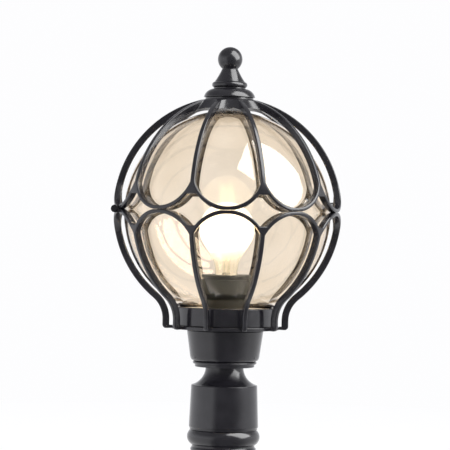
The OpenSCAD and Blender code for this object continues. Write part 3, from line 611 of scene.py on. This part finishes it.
def bay_edges(track, r, upper):
    """The two edges of half a bay on one skin, with as many points each: the window's edge (round foot, rib
    flank and, in the upper half, round crown), and the outer edge (parting plane, scallop, flat of the
    opening, rib's middle and, in the upper half, crown seat). Third comes the number of the outer edge's
    points before the rib."""
    s = sizes()
    rib_foot = math.degrees(math.asin(math.sin(math.radians(BAY / 2)) - s.rib_w / 2 / s.cage_r))
    half = rib_foot if upper else rib_foot + s.arch_extra
    middle = lean(s.rim_h, s.cage_r) + half
    scallop = half + lean(s.rim_side, s.cage_r)
    scallop_dip = 0.45
    scallop_middle = scallop - lean(scallop_dip, s.cage_r)
    dense = np.linspace(1, 179, 4000)
    azimuth, w = circle_on_sphere(middle, half, dense)
    leave = dense[np.argmax(azimuth > track.rib_side(w))]
    plane, flat = (turn_at(scallop_middle, scallop, height / r) for height in (HALF_GAP, s.lozenge_h))
    beside = flat + 0.22 * (leave - flat)
    foot_turns = stations((0, plane, 7), (plane, flat, 26), (flat, beside, 7), (beside, leave, 13))
    foot = round_run(middle, half, foot_turns)
    rib_low = foot[1, -1]
    if upper:
        # The windows' round tops slope, and reach nearer to the crown outside than inside
        crown_polar, crown_half = (s.crown_polar, 7.5) if r < s.cage_r else (19.5, 5.2)
        azimuth, w = circle_on_sphere(90 - crown_polar, crown_half, dense)
        enter = dense[np.flatnonzero(azimuth >= track.rib_side(w))[-1]]
        crown = round_run(90 - crown_polar, crown_half, stations((enter, 164, 16), (164, 180, 9)))
        rib = np.linspace(rib_low, crown[1, 0], 46)[1:]
    else:
        crown = np.empty((4, 0))
        rib = stations(
            (rib_low, 50, 34), (50, BEND_END, 22), (BEND_END, TOE_START, 4), (TOE_START, FOOT_BACK, 5),
            (FOOT_BACK, TOE_END, 5), (TOE_END, PLATE_IN, 4),
        )[1:]
    window = np.hstack([foot, run(track.rib_side(rib), rib, 1.0), crown[:, 1:]])
    bow = round_run(scallop_middle, scallop, np.linspace(plane, flat, 26)) * [[1], [1], [-1], [-1]]
    # At the corner between scallop and flat the direction is half-way between theirs
    bow[2:, -1] = (-0.45, 0.89)
    flat_w = lean(s.lozenge_h, r)
    rim = np.hstack([
        run(np.linspace(0, bow[0, 0], 7)[:-1], lean(HALF_GAP, r), 0.0, 1.0),
        bow,
        run(np.linspace(bow[0, -1], BAY / 2, 7)[1:], flat_w, 0.0, 1.0),
    ])
    climb = np.linspace(flat_w + math.degrees(s.edge_r / s.cage_r), rib_low, 13)[1:]
    outer = [rim, run(BAY / 2, np.concatenate([climb, rib]))]
    if upper:
        seat = 90 - lean(CROWN_SEAT_R, s.cage_r)
        outer.append(run(BAY / 2, np.linspace(rib[-1], seat, 16)[1:]))
        outer.append(run(np.linspace(BAY / 2, 0, 9)[1:], seat))
    return window, np.hstack(outer), rim.shape[1]


def crown_web(seat, inner):
    """The crown between the cap's seat and the inner skin: flat seat, stud hole, spot face for the nut and
    ball skin."""
    s = sizes()
    stud_r, spot_r, spot_z = 3.3, 8.0, 117.9
    inner_r = s.cage_r - s.rib_depth
    polar = np.radians(np.linspace(lean(spot_r, inner_r), lean(CROWN_SEAT_R, s.cage_r), 7))[1:-1]
    ball_z = math.sqrt(inner_r ** 2 - spot_r ** 2)
    section = [(stud_r, seat[0, 2]), (stud_r, spot_z), (spot_r, spot_z), (spot_r, ball_z)]
    section += [(inner_r * np.sin(p), inner_r * np.cos(p)) for p in polar]
    way = unit(seat * (1, 1, 0))
    return np.stack([seat, *(way * r + np.array([0, 0, z]) for r, z in section), inner], axis=1)


def half_bay(upper):
    """Half of one bay of a cage half, from the bay's middle to the rib's. Between the window's edge and the
    outer edge runs one section: outer skin, soft edge, window wall, soft edge, inner skin. A second sheet
    closes the rim up to the rib, and a third the crown or the leg's end."""
    s = sizes()
    soft = s.edge_r
    skins = []
    for depth in (0, s.rib_depth):
        track = ball_track(s.cage_r - depth) if upper else leg_track(depth)
        window, outer, free = bay_edges(track, s.cage_r - depth, upper)
        t = np.linspace(0, 1, 6)
        start, end = (shifted(track, edge, soft)[:, :, None] for edge in (outer, window))
        across = start * (1 - t) + end * t
        skins.append((track.point(*across), track.point(*window[:2]), track.point(*outer[:2])))
    (out_skin, out_window, out_edge), (in_skin, in_window, in_edge) = skins
    wall = unit(in_window - out_window) * soft
    window = np.concatenate([
        out_skin,
        soft_corner(out_window, out_skin[:, -1], out_window + wall)[:, 1:],
        soft_corner(in_window, in_window - wall, in_skin[:, -1]),
        in_skin[:, ::-1][:, 1:],
    ], axis=1)
    out_rim, in_rim = out_edge[:free], in_edge[:free]
    wall = unit(in_rim - out_rim) * soft
    rim = np.concatenate([
        soft_corner(in_rim, in_skin[:free, 0], in_rim - wall),
        soft_corner(out_rim, out_rim + wall, out_skin[:free, 0]),
    ], axis=1)
    grids = [window, rim]
    if upper:
        grids.append(crown_web(out_edge[-9:], in_edge[-9:]))
    parts = [(grid.reshape(-1, 3), grid_faces(*grid.shape[:2])) for grid in grids]
    if not upper:
        parts.append((window[-1], [list(range(len(window[-1])))]))
    return parts


def cage_parts(upper):
    """All the bays of a cage half: the half bay and its mirror image, turned to each bay's place."""
    s = sizes()
    parts = []
    for points, faces in half_bay(upper):
        for k in range(BAYS):
            for side in (1, -1):
                flip = (side, 1, 1 if upper else -1)
                parts.append(placed((points * flip, faces), about_z(BAY * k), (0, 0, PLATE_Z + s.cage_rise)))
    return parts


# Operators, one for each piece or group of like pieces

# Radius of the hole that the threaded stem passes through
STEM_HOLE = 8.15

# Distance of the hinge pins' line beyond the ball, and the azimuth, from the front and from the back, of the
# two bays on the left in whose middles the knuckles stand
PIN_OUT = 2.6
HINGE_AZIMUTH = 2 * BAY

# Turn from +X of the closing screw, which stands in the middle of a bay on the right
CLAMP_TURN = BAY / 2


class LanternOperator:
    """What the lantern's operators share."""
    bl_options = {"REGISTER", "UNDO"}


class LANTERN_OT_fittings(LanternOperator, bpy.types.Operator):
    """Finishes the fittings whose model already has the right shape"""
    bl_idname = "lantern.fittings"
    bl_label = "Fittings"

    def execute(self, context):
        slots = {row["node"]: row["material_slot"] for row in frame["record"]["subparts"]}
        for node, obj in frame["nodes"].items():
            obj.data.materials.clear()
            obj.data.materials.append(finish_of(slots[node]))
        return {"FINISHED"}


def barrel(y0, y1, r=4.2, edge=0.6):
    """A hinge knuckle along Y: a turned pill-box with soft rims."""
    line = outline((0, y0, 0), (r, y0, edge), (r, y1, edge), (0, y1, 0))
    return placed(turned(line, 40, False), Z_TO_Y.T)


def hinge_leaf(starts, width, low, high):
    """One half's part of the hinge: at both stations, knuckles of that width on the pins' line, each with a
    lug to the rim between the heights low and high."""
    s = sizes()
    azimuth = math.radians(HINGE_AZIMUTH)
    x, y = -(s.cage_r * math.sin(azimuth) + PIN_OUT), s.cage_r * math.cos(azimuth)
    lug = PIN_OUT + s.rib_depth * 0.75
    parts = []
    for station in (-y, y):
        for y0 in starts:
            for part in (barrel(y0, y0 + width), block((0, y0, low), (lug, y0 + width, high), 0.5)):
                parts.append(placed(part, None, (x, station, PLATE_Z + s.cage_rise)))
    return parts


class LANTERN_OT_lower_cage(LanternOperator, bpy.types.Operator):
    """Casts the lower half of the cage: scalloped rim, arches, ten curved legs, foot plate and hinge ears"""
    bl_idname = "lantern.lower_cage"
    bl_label = "Lower cage"

    def execute(self, context):
        s = sizes()
        parting = PLATE_Z + s.cage_rise
        plate_top = PLATE_Z + s.plate_t
        hole = 25
        plate = outline(
            (s.plate_r, PLATE_Z, 0.7), (s.plate_r, plate_top, 0.9), (hole, plate_top, 0.7),
            (hole, PLATE_Z, 0.4),
        )
        parts = [*cage_parts(False), turned(plate), *hinge_leaf((2.3, -5.3), 3, -4.2, -0.15)]
        inner = s.cage_r - s.rib_depth
        tab = block((inner - 3.2, -6, -5.5), (inner - 1.6, 6, 9.5), 0.5)
        foot = block((inner - 3.2, -6, -5.5), (inner + 2, 6, -2.3), 0.5)
        parts += [placed(part, about_z(CLAMP_TURN), (0, 0, parting)) for part in (tab, foot)]
        piece("lower_cage_casting", parts, "lamp", "black_paint", "lower_cage")
        return {"FINISHED"}


class LANTERN_OT_upper_cage(LanternOperator, bpy.types.Operator):
    """Casts the upper half of the cage: scalloped rim, ten ribs, crown web, hinge knuckles and clamp boss"""
    bl_idname = "lantern.upper_cage"
    bl_label = "Upper cage"

    def execute(self, context):
        s = sizes()
        parts = cage_parts(True) + hinge_leaf((-2,), 4, 0.15, 4.2)
        length = s.rib_depth + 1
        boss = turned(outline((0, -1, 0), (5, -1, 0.3), (5, length, 0.8), (0, length, 0)), 40, False)
        boss = placed(boss, Z_TO_X, (s.cage_r - s.rib_depth + 1, 0, 6.5))
        parts.append(placed(boss, about_z(CLAMP_TURN), (0, 0, PLATE_Z + s.cage_rise)))
        piece("upper_cage_casting", parts, "lid", "black_paint", "upper_cage")
        return {"FINISHED"}


class LANTERN_OT_post_castings(LanternOperator, bpy.types.Operator):
    """Turns the post sleeve, the flared neck and the cup"""
    bl_idname = "lantern.post_castings"
    bl_label = "Post castings"

    def execute(self, context):
        socket_r, ledge_r, socket_top, roof = 30.5, 27.5, 76, 84
        sleeve = outline(
            (socket_r, 0, 0.3), (34.2, 0, 0.8), (34.2, 16.2, 0.4), arc(33.2, 19, 2.8, -64, 60),
            (34.4, 22.4, 0.3), (34.5, 23.9, 0.3), arc(29.8, 32.75, 10, -60, 50, 30), (36.4, 40.4, 0.2),
            (37.1, 40.9, 0.3), (37.1, 42.5, 0.3), (38.0, 43.7, 1.0), (36.2, NECK_Z, 0.5),
            (STEM_HOLE, NECK_Z, 0.2), (STEM_HOLE, roof, 0.2), (ledge_r, roof, 0.8),
            (ledge_r, socket_top, 0.3), (socket_r, socket_top, 0.3),
        )
        piece("post_sleeve_casting", [turned(sleeve, 192)], "lamp", "black_paint", "post_sleeve")
        foot, hollow_r = NECK_Z, 16.7
        hollow_top, collar = foot + 12.1, foot + 20.2
        flare = outline(
            (hollow_r, foot, 0.4), (35.9, foot, 0.25), (35.9, foot + 0.35, 0.1),
            arc(41.3, collar, 20.6, -105, -180, 40), (32.6, collar, 0.7), (32.6, collar + 3.0, 0.4),
            (34.2, collar + 3.2, 0.4), arc(33.8, collar + 4.65, 1.24, -60, 60), (34.2, CUP_Z, 0.5),
            (STEM_HOLE, CUP_Z, 0.3), (STEM_HOLE, hollow_top, 0.3), (hollow_r, hollow_top, 0.5),
        )
        piece("neck_casting", [turned(flare, 192)], "lamp", "black_paint", "neck")
        floor = CUP_Z + 4.0
        drum = outline(
            (STEM_HOLE, CUP_Z, 0.2), (33.4, CUP_Z, 1.2), (36.6, CUP_Z + 1.2, 2.2), (37.8, CUP_Z + 4.2, 2.4),
            (42.0, RIM_Z, 0.8), (39.0, RIM_Z, 0.4), (34.8, CUP_Z + 6.0, 1.0), (32.8, floor, 1.0),
            (STEM_HOLE, floor, 0.2),
        )
        boss_r, boss_foot, boss_top = 5.2, floor - 0.2, RIM_Z - 0.1
        boss = outline((0, boss_foot, 0), (boss_r, boss_foot, 0), (boss_r, boss_top, 0.6), (0, boss_top, 0))
        parts = [turned(drum, 192)]
        for k in range(3):
            parts.append(placed(turned(boss, 32, False), None, about_z(90 + 120 * k) @ (33.0, 0, 0)))
        piece("cup_casting", parts, "lamp", "black_paint", "cup")
        return {"FINISHED"}


class LANTERN_OT_gallery(LanternOperator, bpy.types.Operator):
    """Turns the round gallery that the globe's neck stands in"""
    bl_idname = "lantern.gallery"
    bl_label = "Gallery"

    def execute(self, context):
        top = node_high("gallery")
        wall_out, wall_in = 55, 51.5
        line = outline(
            (0, GALLERY_Z, 0), (wall_out, GALLERY_Z, 0.8), (wall_out, top, 1.2), (wall_in, top, 1.0),
            (wall_in, SEAT_Z, 1.2), (0, SEAT_Z, 0),
        )
        piece("gallery_casting", [turned(line, 160, False)], "lamp", "black_paint", "gallery")
        return {"FINISHED"}


class LANTERN_OT_crown(LanternOperator, bpy.types.Operator):
    """Turns the crown cap and the finial with its ring, hollow cone and ball"""
    bl_idname = "lantern.crown"
    bl_label = "Crown cap and finial"

    def execute(self, context):
        stud_r, boss_r, dome_x, dome_r, wall, cap_top = 3.3, 9, 16.4, 12.1, 3, CROWN_Z + 11.8
        cap = outline(
            (stud_r, CROWN_Z, 0.2), (boss_r, CROWN_Z, 0.2), (boss_r, cap_top - wall, 0.8),
            arc(dome_x, CROWN_Z, dome_r - wall, 75, 20, 14), (24.6, CROWN_Z, 0.3), (26.3, CROWN_Z, 0.3),
            (26.3, CROWN_Z + 2.3, 0.5), (28.1, CROWN_Z + 2.6, 0.45), arc(dome_x, CROWN_Z, dome_r, 15, 76, 24),
            (19.0, cap_top, 0.8), (stud_r, cap_top, 0.2),
        )
        piece("crown_cap_casting", [turned(cap, 160)], "lid", "black_paint", "crown_cap")
        foot_r, ring_r, ball_r, thread_r = 17.4, 3.3, 13.5, 3.15
        ring = FINIAL_Z + 1.2 + ring_r
        cone = ring + ring_r
        wide, tip, rise = 16.7, 8.775, 14.0
        chord = math.hypot(wide - tip, rise)
        hollow = chord * 5
        reach = math.sqrt(hollow ** 2 - (chord / 2) ** 2) / chord
        hollow_x, hollow_z = (wide + tip) / 2 + rise * reach, cone + rise / 2 + (wide - tip) * reach
        start = math.degrees(math.atan2(cone - hollow_z, wide - hollow_x)) + 360
        end = math.degrees(math.atan2(cone + rise - hollow_z, tip - hollow_x)) + 360
        ball = cone + rise + ball_r * 0.8
        thread_top = cone + rise / 2 + 0.5
        line = outline(
            (0, thread_top, 0), (thread_r, thread_top, 0.2), (thread_r, FINIAL_Z, 0.2),
            (foot_r, FINIAL_Z, 0.3), (foot_r, FINIAL_Z + 1.3, 0.2), arc(16.1, ring, ring_r, -64, 76, 24),
            (17.0, cone - 0.1, 0.3),
            arc(hollow_x, hollow_z, hollow, start, end, 30), arc(0, ball, ball_r, -52, 90, 60),
        )
        piece("finial_casting", [turned(line, 128, False)], "lid", "black_paint", "finial")
        return {"FINISHED"}


class LANTERN_OT_globe(LanternOperator, bpy.types.Operator):
    """Blows the glass globe with its neck and rolled lip"""
    bl_idname = "lantern.globe"
    bl_label = "Glass globe"

    def execute(self, context):
        s = sizes()
        foot, neck = node_low("globe"), 48.4
        inner, neck_in, lip = s.globe_r - s.glass_t, neck - s.glass_t, neck + 1.2
        low, low_in = math.acos(neck / s.globe_r), math.acos(neck_in / inner)
        # The ball's arcs stop these degrees short of the neck's corner, which is rounded
        short = 4
        line = outline(
            arc(0, s.globe_z, inner, 90, short - math.degrees(low_in), 110),
            (neck_in, s.globe_z - inner * math.sin(low_in), 3.0), (neck_in, foot, 0.9), (lip, foot, 1.3),
            (lip, foot + 3, 1.0), (neck, foot + 3.2, 1.0), (neck, s.globe_z - s.globe_r * math.sin(low), 3.5),
            arc(0, s.globe_z, s.globe_r, short - math.degrees(low), 90, 110),
        )
        obj = piece("globe_glass", [turned(line, 200, False)], "lamp", "amber_glass", "globe", weighted=False)
        obj.visible_shadow = False
        return {"FINISHED"}


class LANTERN_OT_lampholder(LanternOperator, bpy.types.Operator):
    """Moulds the lampholder with its grooved skirt"""
    bl_idname = "lantern.lampholder"
    bl_label = "Lampholder"

    def execute(self, context):
        low, top, well = HOLDER_Z, node_high("lampholder"), TIP_Z - 8.5
        well_r, groove_r, skirt_r, base_r = 14.2, 25.8, 27, 23
        line = outline(
            (0, well, 0), (well_r, well, 0.5), (well_r, top, 0.5), (skirt_r, top, 0.9),
            (skirt_r, top - 3, 0.5), (groove_r, top - 3.2, 0.3), (groove_r, top - 5.3, 0.3),
            (skirt_r, top - 5.5, 0.5), (skirt_r, top - 21, 1.2), (base_r, top - 26, 1.5), (base_r, low, 0.8),
            (0, low, 0),
        )
        piece("lampholder_moulding", [turned(line, 128, False)], "lamp", "black_resin", "lampholder")
        return {"FINISHED"}


# Height of the lamp's cap above its tip, and the glass's radius inside it
CAP_RISE = 27.3
NECK_R = 12.55


def bulb_line(s):
    """Side view of the lamp's glass: neck, S-shaped shoulder as a cubic curve, and ball."""
    centre = BULB_TOP_Z - s.bulb_r
    rim = TIP_Z + CAP_RISE
    start = -31
    a = math.radians(start)
    p3 = np.array([s.bulb_r * math.cos(a), centre + s.bulb_r * math.sin(a)])
    p2 = p3 - 12 * np.array([-math.sin(a), math.cos(a)])
    p0 = np.array([NECK_R, rim + 3])
    p1 = p0 + (0, 14)
    t = np.linspace(0, 1, 40)[:, None]
    curve = p0 * (1 - t) ** 3 + 3 * p1 * t * (1 - t) ** 2 + 3 * p2 * t ** 2 * (1 - t) + p3 * t ** 3
    ball = arc(0, centre, s.bulb_r, start, 90, 50)[1:, :2]
    return np.vstack([[NECK_R, rim - 12], curve, ball])


def threaded_cap():
    """The lamp's cap: a thin tube whose radius is core_r + depth cos(2 pi z / pitch - a), which makes a round
    thread, with the wave faded out at both ends and the foot rounded in."""
    low, rim, turns, pitch = TIP_Z + 5, TIP_Z + CAP_RISE, 96, 3.63
    core_r, depth, wall = 12.6, 0.55, 0.45
    z = np.linspace(low, rim, 110)[None, :]
    a = np.linspace(0, 2 * np.pi, turns, endpoint=False)[:, None]
    fade = np.clip((z - low - 1.5) / 2, 0, 1) * np.clip((rim - 5 - z) / 2, 0, 1)
    thread = core_r + depth * np.cos(2 * np.pi * z / pitch - a) * fade
    out_r = thread - 3.0 * (1 - np.clip((z - low) / 1.8, 0, 1)) ** 2
    r = np.concatenate([out_r, out_r[:, ::-1] - wall], axis=1)
    z = np.concatenate([z, z[:, ::-1]], axis=1) + 0 * a
    points = np.stack([r * np.sin(a), -r * np.cos(a), z], -1)
    return points.reshape(-1, 3), grid_faces(turns, r.shape[1], True, True)


class LANTERN_OT_lamp(LanternOperator, bpy.types.Operator):
    """Makes the lamp: glass, threaded cap and glowing light sticks on their wires"""
    bl_idname = "lantern.lamp"
    bl_label = "Lamp"

    def execute(self, context):
        line = bulb_line(sizes())
        way = unit(np.gradient(line, axis=0))
        wall = 0.8
        inner = line + np.stack([-way[:, 1], way[:, 0]], -1) * wall
        inner[-1, 0] = 0
        inner[0, 1] = line[0, 1]
        glass = [turned(np.vstack([inner[::-1], line]), 128, False)]
        obj = piece("lamp_glass", glass, "bulb", "clear_glass", "bulb_glass", weighted=False)
        obj.visible_shadow = False
        piece("lamp_cap", [threaded_cap()], "bulb", "cap_metal", "bulb_cap")
        low, high = node_low("bulb_filaments"), node_high("bulb_filaments")
        stick_x, stick_r, wire_r = 8.5, 1.0, 0.3
        stick = np.linspace((stick_x, 0, low + stick_r), (stick_x, 0, high - stick_r), 12)
        head = [(1.2, 0, high - 2.6), (3.5, 0, high - 1.4), (6.2, 0, high - 0.9), (8.3, 0, high - 1.2)]
        foot = [(1.7, 0, low + 2), (4, 0, low + 1.2), (6.4, 0, low + 0.9), (8.3, 0, low + 1.2)]
        sticks, wires = [], []
        for k in range(4):
            turn = about_z(45 + 90 * k)
            sticks.append(placed(along(stick, stick_r, 14), turn))
            wires += [placed(along(wire, wire_r, 10), turn) for wire in (head, foot)]
        bead = outline((0, high - 3, 0), (1.9, high - 3, 0.6), (1.9, high - 0.8, 0.6), (0, high - 0.8, 0))
        wires.append(turned(bead, 24, False))
        piece("light_sticks", sticks, "bulb", "filament", "bulb_filaments")
        piece("stick_wires", wires, "bulb", "steel")
        frame["nodes"]["bulb_stem"].visible_shadow = False
        return {"FINISHED"}


class LANTERN_OT_stage(LanternOperator, bpy.types.Operator):
    """Sets the pale floor, the studio lights and the camera"""
    bl_idname = "lantern.stage"
    bl_label = "Stage"

    def execute(self, context):
        scene = context.scene
        self.floor(scene)
        self.world(scene)
        self.lights(scene)
        self.camera(scene)
        return {"FINISHED"}

    def floor(self, scene):
        """A pale round floor. Camera, mirrors and glass see it almost as the white backdrop, with the
        object's shadow faintly on it. For mirrored rays, which those through glass count as too, it goes dim
        towards the dark end of the room, in front of the lamp."""
        radius, depth = 900, 4
        line = outline((0, 0, 0), (radius, 0, 0), (radius, -depth, 0), (0, -depth, 0))
        mesh = mesh_of("floor", [turned(line, 64, False)])
        obj = bpy.data.objects.new("floor", mesh)
        scene.collection.objects.link(obj)
        material = bpy.data.materials.new("floor_paper_white")
        tree = emptied(material)
        place = add_node(tree, "TexCoord").outputs["Object"]
        grain = add_node(tree, "TexNoise", {"Scale": 30.0, "Detail": 3.0}, Vector=place)
        tones = (to_linear("#EFEFF1"), to_linear("#F4F4F6"))
        paper = add_node(tree, "ValToRGB", {"stops": zip(MIDDLE, tones)}, Fac=grain)
        plain = add_node(tree, "BsdfDiffuse", Color=paper)
        way = add_node(tree, "VectorMath", {"operation": "NORMALIZE"}, Vector=place)
        ahead = add_node(tree, "SeparateXYZ", Vector=way).outputs
        room_end = add_node(tree, "MapRange", {
            "From_Min": 0.0, "From_Max": 0.2, "To_Min": -0.72, "To_Max": -0.1,
        }, Value=ahead["X"])
        level = add_node(tree, "MapRange", {
            "interpolation_type": "SMOOTHSTEP", "From_Min": -0.96, "To_Min": 0.16, "To_Max": 1.15,
        }, Value=ahead["Y"], From_Max=room_end)
        rays = add_node(tree, "LightPath").outputs
        level = add_node(tree, "Mix", {"A": 1.0}, _0=rays["Is Glossy Ray"], _3=level)
        glow = add_node(tree, "Emission", {"Color": (0.98, 0.98, 0.99, 1)}, Strength=level)
        seen = rays["Is Camera Ray"]
        for kind in ("Is Glossy Ray", "Is Transmission Ray"):
            seen = add_node(tree, "Math", {"operation": "MAXIMUM"}, _0=seen, _1=rays[kind])
        seen = add_node(tree, "Math", {**TIMES, "_1": 0.93}, _0=seen)
        mixed = add_node(tree, "MixShader", _0=seen, _1=plain, _2=glow)
        add_node(tree, "OutputMaterial", Surface=mixed)
        mesh.materials.append(material)

    def world(self, scene):
        """A photo studio. The camera sees white paper, and glass lets almost the same through. Mirrors and
        dull surfaces see the paper behind the lamp, bright walls beside it, a dim floor, and the dark room
        in front of it. The ceiling lights dull surfaces and hardly shows in mirrors."""
        scene.world = bpy.data.worlds.new("studio")
        tree = emptied(scene.world)
        way = add_node(tree, "TexCoord").outputs["Generated"]
        axes = add_node(tree, "SeparateXYZ", Vector=way).outputs
        rays = add_node(tree, "LightPath").outputs

        def by_way(axis, start, end, low, high):
            """A level that changes smoothly with the direction's part along an axis."""
            return add_node(tree, "MapRange", {
                "interpolation_type": "SMOOTHSTEP", "From_Min": start, "From_Max": end,
                "To_Min": low, "To_Max": high,
            }, Value=axes[axis])

        room_end = by_way("Y", -0.95, -0.72, 0.2, 1.0)
        join(room_end, From_Max=by_way("X", 0.0, 0.2, -0.72, -0.1))
        walls = add_node(tree, "Math", TIMES, _0=by_way("Y", 0.3, 0.85, 1.35, 1.12), _1=room_end)
        above = add_node(tree, "Mix", {"A": 1.6, "B": 0.42}, _0=rays["Is Glossy Ray"])
        level = add_node(tree, "Mix", _0=by_way("Z", 0.08, 0.6, 0.0, 1.0), _2=walls, _3=above)
        level = add_node(tree, "Math", TIMES, _0=level, _1=by_way("Z", -0.65, -0.1, 0.45, 1.0))
        level = add_node(tree, "Mix", {"B": 1.12}, _0=rays["Is Transmission Ray"], _2=level)
        room = add_node(tree, "Background", {"Color": (0.96, 0.965, 1.0, 1)}, Strength=level)
        paper = add_node(tree, "Background", {"Color": (0.985, 0.985, 0.995, 1), "Strength": 1.0})
        mixed = add_node(tree, "MixShader", _0=rays["Is Camera Ray"], _1=room, _2=paper)
        add_node(tree, "OutputWorld", Surface=mixed)

    def lights(self, scene):
        """A big window panel high on the right, which shows only in glass and gloss, and a key light near it
        and a fill light on the left, which light dull surfaces only."""
        centre = Vector((0, 0, sizes().globe_z * MM))
        ahead = Vector((0.711, -0.303, 0.635)).normalized()
        across = Vector((0.143, 0.946, 0.291))
        across = (across - across.dot(ahead) * ahead).normalized()
        up = ahead.cross(across)
        window = Matrix((across, up, ahead)).transposed().to_4x4()
        window.translation = centre + 1.4 * ahead - 0.05 * up

        def facing(*place):
            """A light's matrix at a place, turned towards the globe."""
            matrix = (centre - Vector(place)).to_track_quat("-Z", "Y").to_matrix().to_4x4()
            matrix.translation = place
            return matrix

        panels = (
            ("window_right", window, (1.29, 1.95), 62.0, True),
            ("key_right", facing(0.95, -0.5, 0.9), (0.5, 0.9), 5.0, False),
            ("fill_left", facing(-1.15, -0.8, 0.8), (0.9, 0.9), 4.0, False),
        )
        for name, matrix, extent, power, mirrored in panels:
            light = bpy.data.lights.new(name, "AREA")
            light.shape = "RECTANGLE"
            light.size, light.size_y = extent
            light.energy = power
            obj = bpy.data.objects.new(name, light)
            scene.collection.objects.link(obj)
            obj.matrix_world = matrix
            obj.visible_camera = False
            obj.visible_diffuse = not mirrored
            obj.visible_glossy = mirrored
            obj.visible_transmission = mirrored

    def camera(self, scene):
        """A long lens at the globe's height, level, with the photographer's slight roll."""
        distance, height, aside, roll = 2.52, 0.2644, -0.00235, 1.06
        lens = bpy.data.cameras.new("camera")
        lens.lens = 184.0
        lens.sensor_width = 36.0
        obj = bpy.data.objects.new("camera", lens)
        scene.collection.objects.link(obj)
        level = Matrix.Rotation(math.radians(90), 4, "X") @ Matrix.Rotation(math.radians(roll), 4, "Z")
        obj.matrix_world = Matrix.Translation((aside, -distance, height)) @ level
        scene.camera = obj
        scene.view_settings.view_transform = "Standard"


class LANTERN_PT_panel(bpy.types.Panel):
    """Lists the lantern's pieces, sizes and colours"""
    bl_idname = "LANTERN_PT_panel"
    bl_label = "Garden lantern"
    bl_space_type = "VIEW_3D"
    bl_region_type = "UI"
    bl_category = "Lantern"

    def draw(self, context):
        for group in (sizes(), colours()):
            box = self.layout.box()
            for key in group.__annotations__:
                box.prop(group, key)
        for operator in OPERATORS:
            self.layout.operator(operator.bl_idname)


OPERATORS = (
    LANTERN_OT_fittings, LANTERN_OT_post_castings, LANTERN_OT_lower_cage, LANTERN_OT_upper_cage,
    LANTERN_OT_gallery, LANTERN_OT_crown, LANTERN_OT_globe, LANTERN_OT_lampholder, LANTERN_OT_lamp,
    LANTERN_OT_stage,
)
CLASSES = (LanternSizes, LanternColours) + OPERATORS + (LANTERN_PT_panel,)


def register():
    """Registers the classes and the scene's two groups of settings."""
    for cls in CLASSES:
        bpy.utils.register_class(cls)
    bpy.types.Scene.lantern_sizes = PointerProperty(type=LanternSizes)
    bpy.types.Scene.lantern_colours = PointerProperty(type=LanternColours)


def unregister():
    """Takes them away again."""
    del bpy.types.Scene.lantern_sizes
    del bpy.types.Scene.lantern_colours
    for cls in reversed(CLASSES):
        bpy.utils.unregister_class(cls)


def main():
    """Builds the lantern in order."""
    register()
    bpy.ops.lantern.fittings()
    bpy.ops.lantern.post_castings()
    bpy.ops.lantern.lower_cage()
    bpy.ops.lantern.upper_cage()
    bpy.ops.lantern.gallery()
    bpy.ops.lantern.crown()
    bpy.ops.lantern.globe()
    bpy.ops.lantern.lampholder()
    bpy.ops.lantern.lamp()
    bpy.ops.lantern.stage()


if __name__ == "__main__":
    main()
